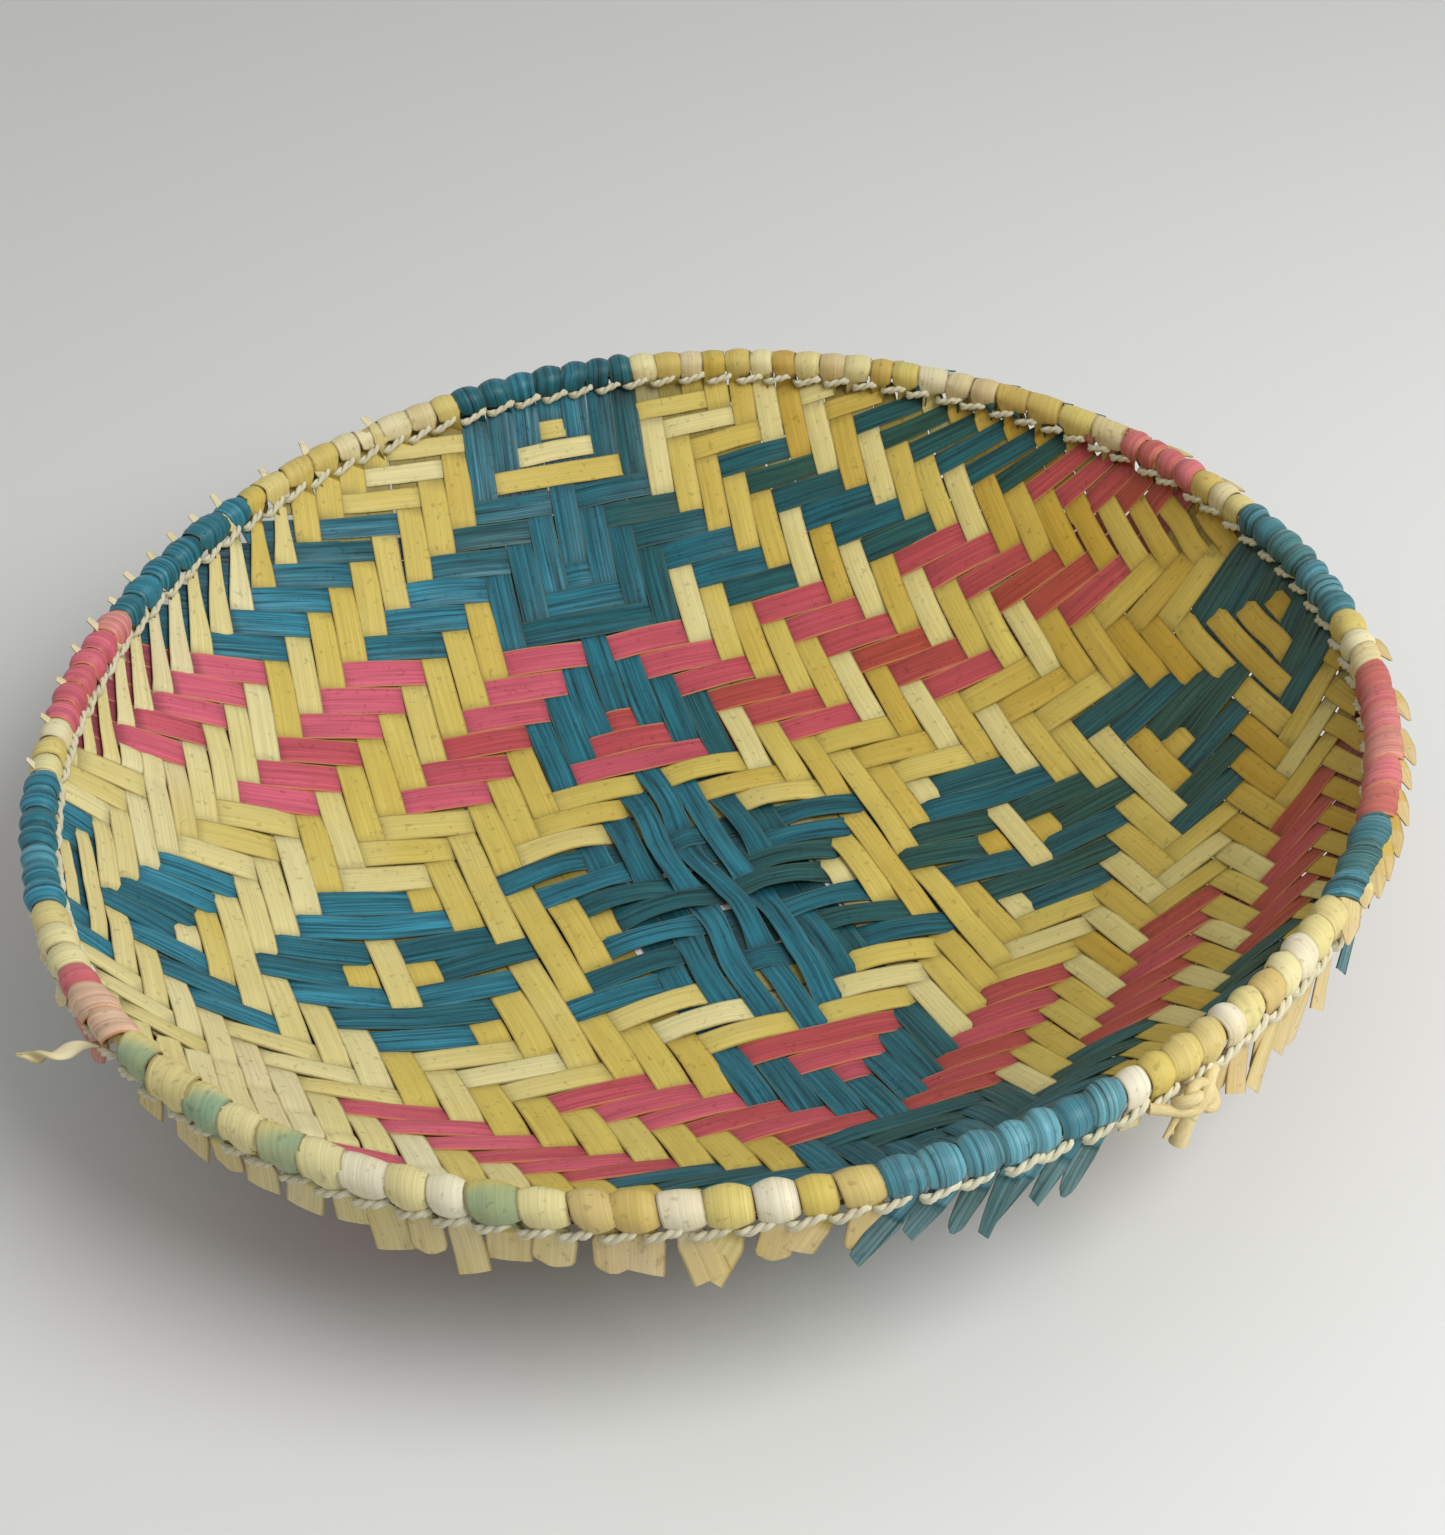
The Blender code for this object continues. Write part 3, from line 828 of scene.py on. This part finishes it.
def findEnds(members):
    ends = []
    for member in members:
        for line in (member["line"][::-1], member["line"]):
            end = Vector(line[-1])
            run = (end - Vector(line[-4])).normalized()
            turn = math.atan2(end.y, end.x)
            radial = run.dot(Vector((math.cos(turn), math.sin(turn))))
            aside = run.dot(Vector((-math.sin(turn), math.cos(turn))))
            slant = aside / max(radial, rim["leastRadial"])
            shown = isShown(member["isWeft"], turn) and abs(slant) <= rim["mostSlant"]
            isTipless = rim["tipless"][0] < math.degrees(turn) % 360.0 < rim["tipless"][1]
            member["ends"].append({"member": member, "turn": turn, "slant": slant, "isShown": shown,
                                   "bead": rim["underWidth"], "hasTip": not shown and not isTipless})
        ends += member["ends"]
    for tries in range(40):
        shown = sorted((end for end in ends if end["isShown"]), key=lambda end: end["turn"])
        before, after = max(zip(shown, shown[1:] + shown[:1]),
                            key=lambda pair: turnBetween(pair[0]["turn"], pair[1]["turn"]))
        gap = turnBetween(before["turn"], after["turn"])
        low, high = rim["gapMiddle"]
        inside = [end for end in ends if not end["isShown"] and abs(end["slant"]) < rim["mostSlant"]
                  and low * gap < turnBetween(before["turn"], end["turn"]) < high * gap]
        if gap * hoop["ringRadius"] < rim["mostBead"] or not inside:
            break
        chosen = min(inside, key=lambda end: abs(turnBetween(before["turn"], end["turn"]) - gap / 2.0))
        chosen["isShown"], chosen["hasTip"] = True, False
    for end in shown:
        end["turn"] += rim["chance"].uniform(-rim["stray"], rim["stray"]) / hoop["ringRadius"]
    for before, end, after in zip(shown[-1:] + shown[:-1], shown, shown[1:] + shown[:1]):
        gaps = [min(turnBetween(one["turn"], other["turn"]) * hoop["ringRadius"], rim["widestBead"])
                for one, other in ((before, end), (end, after))]
        end["bead"] = max(sum(gaps) / 2.0 * rim["beadShare"], rim["leastBead"])
        end["shift"] = (gaps[1] - gaps[0]) / 4.0 / hoop["ringRadius"]
    for end in shown:
        end["turn"] += end["shift"]


def endAgeing(end, chance):  # above 0 the fold is bleached, below 0 it is greenish
    isWeft, strip, dye = (end["member"][label] for label in ("isWeft", "strip", "dye"))
    degrees = math.degrees(end["turn"]) % 360.0
    isFront = degrees > 180.0 and not isWeft
    pick = chance.random()
    if isWeft and rim["bleachedWefts"][0] < degrees < rim["bleachedWefts"][1]:
        return 0.55 + 0.4 * pick
    if dye == "teal" and isFront:
        return 0.15 + 0.55 * pick
    if dye != "natural":
        faded = 0.4 * chance.random() if pick < 0.2 else 0.05
        return faded + rim["rightFade"][dye] * max(math.cos(end["turn"]), 0.0)
    if isFront and strip in rim["bleachedEnds"]:
        return 0.85
    if isFront:
        return -0.75 if strip in rim["greenEnds"] else 0.3 * pick
    return 0.5 if pick < 0.25 else -0.25 if pick < 0.4 else 0.1


# A fold seen from the side, outwards from the hoop and up: inside it, over it, then a shown one's tail or a
# hidden one's tip. And how many of its places come before the tail or the tip.
def foldProfile(end, tip, radius, tail, flare, reach):
    pinch = rim["pinchUp"]
    stop = -15 if end["isShown"] else tip["angle"] if end["hasTip"] else 75
    profile = [(-0.0026, pinch), (-0.0029, pinch + 0.0018)]
    for angle in range(180, stop, -15):
        profile.append((radius * math.cos(math.radians(angle)),
                        radius * math.sin(math.radians(angle)) * rim["squash"]))
    if end["isShown"]:
        profile += [(0.0027, pinch + 0.0019), (0.0023, pinch + 0.0006), (0.0021, pinch - 0.0004)]
    wrapped = len(profile)
    first = profile[-1]
    if end["isShown"]:
        for share in (0.25, 0.5, 0.75, 1.0):
            profile.append((first[0] + tail * share * flare * (0.35 + 0.65 * share),
                            first[1] - tail * share * 0.95))
    elif end["hasTip"]:
        up = tip["up"] + rim["chance"].uniform(-0.15, 0.05)
        for step in (1, 2, 3):
            profile.append((first[0] + reach * step / 3.0 * tip["out"], first[1] + reach * step / 3.0 * up))
    return profile, wrapped


# A fold's guide, from the end of its mat guide over the hoop to the tip of its tail.
def foldGuide(end, last, beforeLast):
    chance, turn, bead, pinch = rim["chance"], end["turn"], end["bead"], rim["pinchUp"]
    shown, hasTip = end["isShown"], end["hasTip"]
    isWeft, dye, tone = (end["member"][label] for label in ("isWeft", "dye", "tone"))
    isRight = math.cos(turn) > 0.0
    isTealTail = dye == "teal" and shown and not isWeft
    tip = rim["rightTip" if isRight else "leftTip"]
    steep = min(abs(end["slant"]), 1.0)
    radius = rim["beadRadius"] * chance.uniform(*rim["beadSpread"]) if shown else rim["underRadius"]
    slant = max(min(end["slant"], rim["slantLimit"]), -rim["slantLimit"])
    slant *= rim["slant" if math.sin(turn) < -0.3 else "backSlant"]
    slant += chance.uniform(-rim["slantSpread"], rim["slantSpread"])
    habits = [habit for habit in rim["tails"] if habit[0] <= math.degrees(turn) % 360.0]
    shortest, longest, flare, lean = habits[-1][1:]
    tail = chance.uniform(shortest, longest)
    lean += chance.uniform(-rim["leanSpread"], rim["leanSpread"])
    lean -= rim["tipLean"] * (hasTip and isRight) + rim["tealLean"] * isTealTail
    flare += chance.uniform(*rim["flareSpread"])
    reach = chance.uniform(*tip["reach"])
    profile, wrapped = foldProfile(end, tip, radius, tail, flare, reach)
    aside = turnBetween(turn, math.atan2(last["place"].y, last["place"].x) + math.pi) - math.pi
    points = [beforeLast["place"], last["place"]]
    travelled, wrappedLength = 0.0, 0.0
    for index, (outward, up) in enumerate(profile):
        if index:
            travelled += math.dist(profile[index - 1], profile[index])
        settled = easeShare(index / 5.0)
        side = between(aside * hoop["ringRadius"], slant * (wrappedLength - rim["slantCentre"]), settled)
        if index < wrapped:
            wrappedLength = travelled
        else:
            side += lean * (index - wrapped + 1) / (len(profile) - wrapped) * (tail if shown else reach)
        points.append(hoopPlace(turn, outward, up, side))
    dense = smoothLine(points)[6:]
    total = sum(math.dist(a, b) for a, b in zip(dense, dense[1:]))
    rows = [last["place"]] + [Vector(row) for row in resample(dense, strips["foldRows"] + 1)[1:]]
    startWidth = last["across"].length
    startAcross = last["across"].normalized()
    cut = chance.choice(rim["cuts"]) * bead * 0.5
    shift = chance.uniform(-0.22, 0.22) if shown else chance.uniform(-0.1, 0.1)
    ageing = endAgeing(end, chance)
    tailAgeing = -0.7 if isTealTail else 0.36 if shown or isRight else 0.7
    beadCrown = chance.uniform(*rim["beadCrown"][dye]) * (1.0 if shown else rim["underCrown"])
    if dye == "natural" and math.sin(turn) > 0.0:
        beadCrown *= rim["backCrown"]
    if shown and isWeft and math.cos(turn) > 0.5:
        shift -= rim["paler"][dye] * math.cos(turn)
    neck = min(bead, rim["neck"]) * (1.0 - 0.3 * steep)
    guide = []
    turned = None
    for index, place in enumerate(rows[1:], 1):
        travelled = total * index / (len(rows) - 1)
        fromTip = total - travelled
        run = (rows[min(index + 1, len(rows) - 1)] - rows[index - 1]).normalized()
        here = math.atan2(place.y, place.x)
        up = place.z - hoop["height"] - rimLift(here)
        level = Vector((-math.sin(here), math.cos(here), 0.0))
        if turned is None:
            turned = 1.0 if level.dot(startAcross) > 0.0 else -1.0
        level = (level * turned - run * (level * turned).dot(run)).normalized()
        settled = easeShare(travelled / rim["settleLength"])
        across = between(startAcross, level, settled).normalized()
        facing = across.cross(run).normalized()
        if facing.dot(guide[-1]["facing"] if guide else last["facing"]) < 0.0:
            facing = -facing
        crown = rim["pinchCrown"]
        if fromTip > (tail + 0.001 if shown else reach):
            atBead = easeShare((up - pinch) / 0.0022)
            crown = between(crown, beadCrown, atBead) * settled
            turning = math.sin(math.pi * min(travelled / rim["settleLength"], 1.0))
            width = between(startWidth, between(neck, bead, atBead), settled) * (1.0 - 0.25 * steep * turning)
            if hasTip:
                width *= 1.0 - easeShare((reach + 0.003 - fromTip) / 0.003) * tip["neckTaper"]
        elif shown:
            share = 1.0 - fromTip / (tail + 0.001)
            width = between(neck, bead * 0.92, easeShare(share / 0.35))
            if cut == 0.0:  # a tail with a rounded end
                width *= math.sqrt(max(1.0 - max((share - 0.8) / 0.2, 0.0) ** 2 * 0.9, 0.0))
            width *= 1.0 - rim["tealTaper"] * share * isTealTail
        else:
            share = 1.0 - max(fromTip, 0.0) / reach
            width = bead * (tip["width"] - tip["taper"] * share) * (1.0 if hasTip else 0.7)
            crown *= 1.0 - share
        stretched = across * width
        if cut and fromTip < rim["cutLength"] and shown:
            stretched += run * cut * (1.0 - fromTip / rim["cutLength"])
        atTail = easeShare((tail - fromTip) / 0.002) if shown else 0.9 * (hasTip and fromTip < reach + 0.001)
        atGreen = easeShare((travelled - 0.0078) / 0.0045) if ageing < 0.0 else 1.0
        # Below the bead, where the fold tucks under the binding, its colour is darkened: painted shade.
        isUnder = easeShare((pinch + 0.0016 - up) / 0.0012) * (1.0 - atTail)
        guide.append({"place": place, "across": stretched, "outward": facing * crown, "facing": facing,
                      "tone": tone + shift * settled + (1.0 - tone) * 0.8 * atTail,
                      "ageing": between(ageing * settled * atGreen, tailAgeing, atTail),
                      "hollow": 0.55 * isUnder})
    return guide


def listStrips():
    found = []
    for isWeft in (False, True):
        chance = random.Random(9 if isWeft else 5)
        for strip in range(-mat["most"], mat["most"] + 1):
            line = stripLine(isWeft, strip)
            dye = stripDye(isWeft, strip)
            tone = drawTone(dye, chance)
            if line is not None:
                found.append({"isWeft": isWeft, "strip": strip, "line": line, "dye": dye, "tone": tone,
                              "ends": []})
    return found


allStrips = listStrips()
findEnds(allStrips)
for member in allStrips:
    chance = random.Random(1000 + member["strip"] + 500 * member["isWeft"])
    laid = matGuide(member, resample(member["line"], strips["matRows"]), chance)
    first = foldGuide(member["ends"][0], laid[0], laid[1])
    last = foldGuide(member["ends"][1], laid[-1], laid[-2])
    member["guide"] = first[::-1] + laid + last
print("strips in the mat:", len(allStrips))


def makeRibbons(name, members, material, seed):
    points = []
    for member in members:
        start, length = float(len(points)), 0.0
        for index, row in enumerate(member["guide"]):
            if index:
                length += (row["place"] - member["guide"][index - 1]["place"]).length
            points.append({**row, "isFirst": float(index == 0), "firstIndex": start, "lengthSoFar": length,
                           "strip": float(member["strip"]), "width": row["across"].length})
    made = makePointMesh(name, points)
    setModifier(made, ribbonTree, {
        "Columns": strips["columns"], "Rows": len(members[0]["guide"]), "Crease": strips["crease"],
        "Fray": strips["fray"], "Seed": float(seed), "Material": material})
    shell = made.modifiers.new("thickness", "SOLIDIFY")
    shell.thickness = strips["thickness"]
    shell.offset = 0.0
    finishPiece(made, strips["sharpAngle"])


for name, isWeft, dye, side in (
        ("warp_strips_natural_left", False, "natural", -1),
        ("warp_strips_natural_right", False, "natural", 1),
        ("warp_strips_teal", False, "teal", 0), ("weft_strips_teal", True, "teal", 0),
        ("weft_strips_pink", True, "pink", 0), ("weft_strips_natural", True, "natural", 0)):
    members = [member for member in allStrips
               if (member["isWeft"], member["dye"]) == (isWeft, dye) and member["strip"] * side >= 0]
    makeRibbons(name, members, leafMaterials[dye], 11)


def makeCords(name, lines, radius, sides, material):
    points, edges = [], []
    for line in lines:
        start = len(points)
        thickness = line.get("thickness", [1.0] * len(line["places"]))
        points += [{"place": place, "thickness": share} for place, share in zip(line["places"], thickness)]
        edges += [(index, index + 1) for index in range(start, len(points) - 1)]
        if line.get("isRing"):
            edges.append((len(points) - 1, start))
    made = makePointMesh(name, points, edges)
    setModifier(made, cordTree, {"Sides": sides, "Radius": radius, "Material": cordMaterials[material]})
    finishPiece(made, 60.0)


def hoopLine():
    first = hoop["startTurn"] + hoop["endGap"]
    last = hoop["startTurn"] + fullTurn - hoop["endGap"]
    places, thickness = [], []
    for index in range(hoop["points"]):
        turn = first + (last - first) * index / (hoop["points"] - 1)
        nearEnd = min(turn - first, last - turn) * hoop["ringRadius"]
        places.append(hoopPlace(turn, 0.0, 0.0, 0.0))
        thickness.append(between(hoop["paredShare"], 1.0, easeShare(nearEnd / hoop["paredLength"])))
    return {"places": places, "thickness": thickness}


makeCords("rim_hoop_stick", [hoopLine()], hoop["rodRadius"], 12, "hoop cane")

# The binding: two strands that change sides at each stitch, each of two twisted plies.
binding = {
    "stitches": 59,
    "points": 1300,
    "inwards": 0.0036,
    "outwards": 0.0034,
    "rise": 0.0010,
    "dip": 0.0004,
    "sway": 0.5,
    "flatness": 3.6,
    "plyRadius": 0.00064,
    "plyOffset": 0.00048,
    "twistLength": 0.0055,
    "chance": random.Random(17),
}


def bindingStrand(phase):
    sway = waver(binding["chance"], 40)
    dip = waver(binding["chance"], 60)
    twists = round(fullTurn * hoop["ringRadius"] / binding["twistLength"])
    plies = ([], [])
    for index in range(binding["points"]):
        share = index / binding["points"]
        wandering = 1.0 - easeShare((share - 0.98) / 0.02)
        wave = binding["stitches"] * fullTurn * share + phase + binding["sway"] * sway(share) * wandering
        swing = math.tanh(binding["flatness"] * math.cos(wave)) / math.tanh(binding["flatness"])
        out = swing * binding["outwards" if swing > 0.0 else "inwards"]
        up = rim["pinchUp"] + binding["rise"] * math.sin(wave) + binding["dip"] * dip(share) * wandering
        for places, start in zip(plies, (0.0, math.pi)):
            twist = fullTurn * twists * share + start
            places.append(hoopPlace(fullTurn * share, out + binding["plyOffset"] * math.cos(twist),
                                    up + binding["plyOffset"] * math.sin(twist), 0.0))
    return [{"places": places, "isRing": True} for places in plies]


makeCords("binding_strand_one", bindingStrand(0.0), binding["plyRadius"], 6, "binding fibre")
makeCords("binding_strand_two", bindingStrand(math.pi), binding["plyRadius"], 6, "binding fibre")

# The knot that ends the binding: a knob of looped cord, a peeled peg through it and a frayed end. The lines'
# places are in millimetres outwards, up and aside.
knotLow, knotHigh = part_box("cord_knot")
knot = {
    "turn": math.atan2(knotLow.y + knotHigh.y, knotLow.x + knotHigh.x),
    "out": 0.0066,
    "up": -0.0052,
    "aside": -0.0055,
    "size": 0.00130,
    "loopPoints": 72,
    "cordRadius": 0.00125,
    "pegRadius": 0.0019,
    "wrap": ((-2.8, 1.0, 8.0), (-1.0, 1.6, 5.0), (1.2, 1.2, 2.0), (1.4, -0.8, -1.2), (-0.8, 0.0, -5.2),
             (-3.0, 0.8, -8.5)),
    "loop": ((0.0, -1.6, 1.6), (1.0, -3.4, 3.0), (0.6, -4.0, 5.2), (-1.2, -2.2, 5.8), (-2.0, 0.6, 4.8)),
    "peg": ((0.0, 0.6, -1.0), (0.4, -4.4, -2.4), (0.6, -8.8, -4.0)),
    "frayedStart": ((-0.4, -0.6, -2.6), (0.0, -3.4, -5.2)),
    "frayedTips": ((0.2, -5.6, -7.3), (0.2, -5.6, -6.2), (0.2, -5.6, -5.3)),
}


def knotPlace(out, up, aside):
    return hoopPlace(knot["turn"], knot["out"] + out, knot["up"] + up, knot["aside"] + aside)


def knobLine():
    places = []
    for index in range(knot["loopPoints"]):
        t = fullTurn * index / knot["loopPoints"]
        places.append(knotPlace(knot["size"] * 0.9 * math.sin(3.0 * t),
                                knot["size"] * 0.85 * (math.cos(t) - 2.0 * math.cos(2.0 * t)),
                                knot["size"] * (math.sin(t) + 2.0 * math.sin(2.0 * t))))
    return {"places": places, "isRing": True}


def knotLine(points, tipThickness=1.0):
    places = smoothLine([knotPlace(*(part * 0.001 for part in point)) for point in points])
    count = len(places) - 1
    return {"places": places,
            "thickness": [between(1.0, tipThickness, index / count) for index in range(count + 1)]}


makeCords("knot_knob", [knobLine(), knotLine(knot["wrap"]), knotLine(knot["loop"], 0.9)],
          knot["cordRadius"], 8, "peeled end")
makeCords("knot_end_peg", [knotLine(knot["peg"])], knot["pegRadius"], 12, "peeled end")
makeCords("knot_end_frayed", [knotLine((*knot["frayedStart"], tip), 0.35) for tip in knot["frayedTips"]],
          knot["cordRadius"] * 0.8, 7, "peeled end")

# A loose strip end, twisted, standing out at the left of the rim.
looseStrip = {
    "turn": math.radians(200.0),
    "out": 0.0024,
    "up": -0.0046,
    "reach": 0.0165,
    "rise": 0.0040,
    "wave": 0.0012,
    "aside": -0.004,
    "width": 0.0042,
    "turns": 0.9,
    "bulgeAt": 0.72,
    "rows": 60,
}


def looseGuide():
    guide = []
    outwards = Vector((math.cos(looseStrip["turn"]), math.sin(looseStrip["turn"]), 0.0))
    level = Vector((-outwards.y, outwards.x, 0.0))
    for index in range(looseStrip["rows"]):
        share = index / (looseStrip["rows"] - 1)
        rise = looseStrip["rise"] * share ** 1.5 + looseStrip["wave"] * math.sin(share * 7.0)
        twist = fullTurn * looseStrip["turns"] * share
        across = level * math.cos(twist) + Vector((0.0, 0.0, 1.0)) * math.sin(twist)
        facing = across.cross(outwards)
        bulge = math.exp(-((share - looseStrip["bulgeAt"]) / 0.10) ** 2)
        width = looseStrip["width"] * (0.75 + 0.45 * bulge) * (1.0 - easeShare((share - 0.78) / 0.22) * 0.85)
        guide.append({
            "place": hoopPlace(looseStrip["turn"], looseStrip["out"] + looseStrip["reach"] * share,
                               looseStrip["up"] + rise, looseStrip["aside"] * share),
            "across": across * width, "outward": facing * (0.0008 + 0.0010 * bulge), "facing": facing,
            "tone": 0.6, "ageing": 0.55, "hollow": 0.0})
    return guide


makeRibbons("loose_strip", [{"guide": looseGuide(), "strip": 40}], leafMaterials["natural"], 3)

# The camera stands where the photograph was taken from.
camera = {
    "turn": math.radians(-14.68),         # round the basket, from straight in front
    "rise": math.radians(39.21),
    "roll": math.radians(-5.154),
    "distance": 0.5568,                   # from the middle of the rim
    "aside": (0.0049, -0.01645),          # that point's place right of and above the middle of the view
    "lens": 55.29,
}


def makeCamera():
    data = bpy.data.cameras.new("camera")
    data.lens = camera["lens"]
    data.clip_start = 0.01
    made = putIn("camera", data)
    tilt = Matrix.Rotation(math.pi / 2.0 - camera["rise"], 4, "X") @ Matrix.Rotation(camera["roll"], 4, "Z")
    stand = Matrix.Translation((0.0, 0.0, hoop["height"])) @ Matrix.Rotation(camera["turn"], 4, "Z")
    made.matrix_world = stand @ tilt @ Matrix.Translation((*camera["aside"], camera["distance"]))
    bpy.context.scene.camera = made


light = {
    "key": {"place": (0.55, -0.60, 0.85), "size": 0.80, "power": 11.2},
    "fill": {"place": (-0.7, 0.5, 0.8), "size": 1.0, "power": 0.8},
    "surround": 0.34,
    "floor": paint(0.90, 0.90, 0.89),
    "floorRoughness": 0.9,
    "floorSize": 8.0,
}


def makeLamp(name, lamp):
    data = bpy.data.lights.new(name, "AREA")
    data.shape = "DISK"
    data.size = lamp["size"]
    data.energy = lamp["power"]
    made = putIn(name, data)
    made.location = lamp["place"]
    aim = Vector((0.0, 0.0, hoop["height"] / 2.0)) - Vector(lamp["place"])
    made.rotation_euler = aim.to_track_quat("-Z", "Y").to_euler()


def makeWorld():  # white where it is seen, dimmer where it only gives light
    world = bpy.data.worlds.new("studio")
    world.use_nodes = True
    tree = world.node_tree
    tree.nodes.clear()
    path = addNode(tree, "ShaderNodeLightPath")
    seen = calculate("MAXIMUM", output(path, "Is Camera Ray"), output(path, "Is Glossy Ray"))
    seen = calculate("MAXIMUM", seen, output(path, "Is Transmission Ray"))
    shade = addNode(tree, "ShaderNodeBackground", {
        "Color": (1.0, 1.0, 1.0, 1.0), "Strength": seen + (1.0 - seen) * light["surround"]})
    addNode(tree, "ShaderNodeOutputWorld", {"Surface": output(shade)})
    bpy.context.scene.world = world


def makeFloor():
    half = light["floorSize"] / 2.0
    mesh = bpy.data.meshes.new("floor")
    mesh.from_pydata([(-half, -half, 0.0), (half, -half, 0.0), (half, half, 0.0), (-half, half, 0.0)], [],
                     [(0, 1, 2, 3)])
    material = bpy.data.materials.new("floor")
    material.use_nodes = True
    feedAll(material.node_tree.nodes["Principled BSDF"], {
        "Base Color": light["floor"], "Roughness": light["floorRoughness"]})
    mesh.materials.append(material)
    floor = putIn("floor", mesh)


makeCamera()
makeLamp("key light", light["key"])
makeLamp("fill light", light["fill"])
makeWorld()
makeFloor()
bpy.context.scene.view_settings.view_transform = "Standard"
print("camera, lights and floor made")

for name, piece in pieces.items():
    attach(piece, "root")


def bandNodes(family, numbers):
    return [f"{family}_band_{number:02d}" for number in numbers]


# Which of the record's slots each piece is listed with, and which CAD nodes it stands for; the loop below
# hides those nodes.
stands = {
    "warp_strips_natural_left": ("strip_natural", bandNodes("warp", range(1, 7))),
    "warp_strips_teal": ("strip_teal", bandNodes("warp", range(7, 10))),
    "warp_strips_natural_right": ("strip_natural", bandNodes("warp", range(10, 16))),
    "weft_strips_teal": ("strip_teal", bandNodes("weft", (2, 3, 7, 8, 9, 13, 14))),
    "weft_strips_pink": ("strip_pink", bandNodes("weft", (4, 5, 11, 12))),
    "weft_strips_natural": ("strip_natural", bandNodes("weft", (1, 6, 10, 15))),
    "rim_hoop_stick": ("hoop_cane", ["rim_hoop"]),
    "binding_strand_one": ("binding_fibre", ["binding_cord_inner"]),
    "binding_strand_two": ("binding_fibre", ["binding_cord_outer"]),
    "knot_knob": ("binding_fibre", ["cord_knot"]),
    "knot_end_peg": ("binding_fibre", ["cord_knot_end_1"]),
    "knot_end_frayed": ("binding_fibre", ["cord_knot_end_2"]),
    "loose_strip": ("strip_natural", ["loose_strip_end"]),
}
for name, (slot, nodes) in stands.items():
    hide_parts(*nodes)
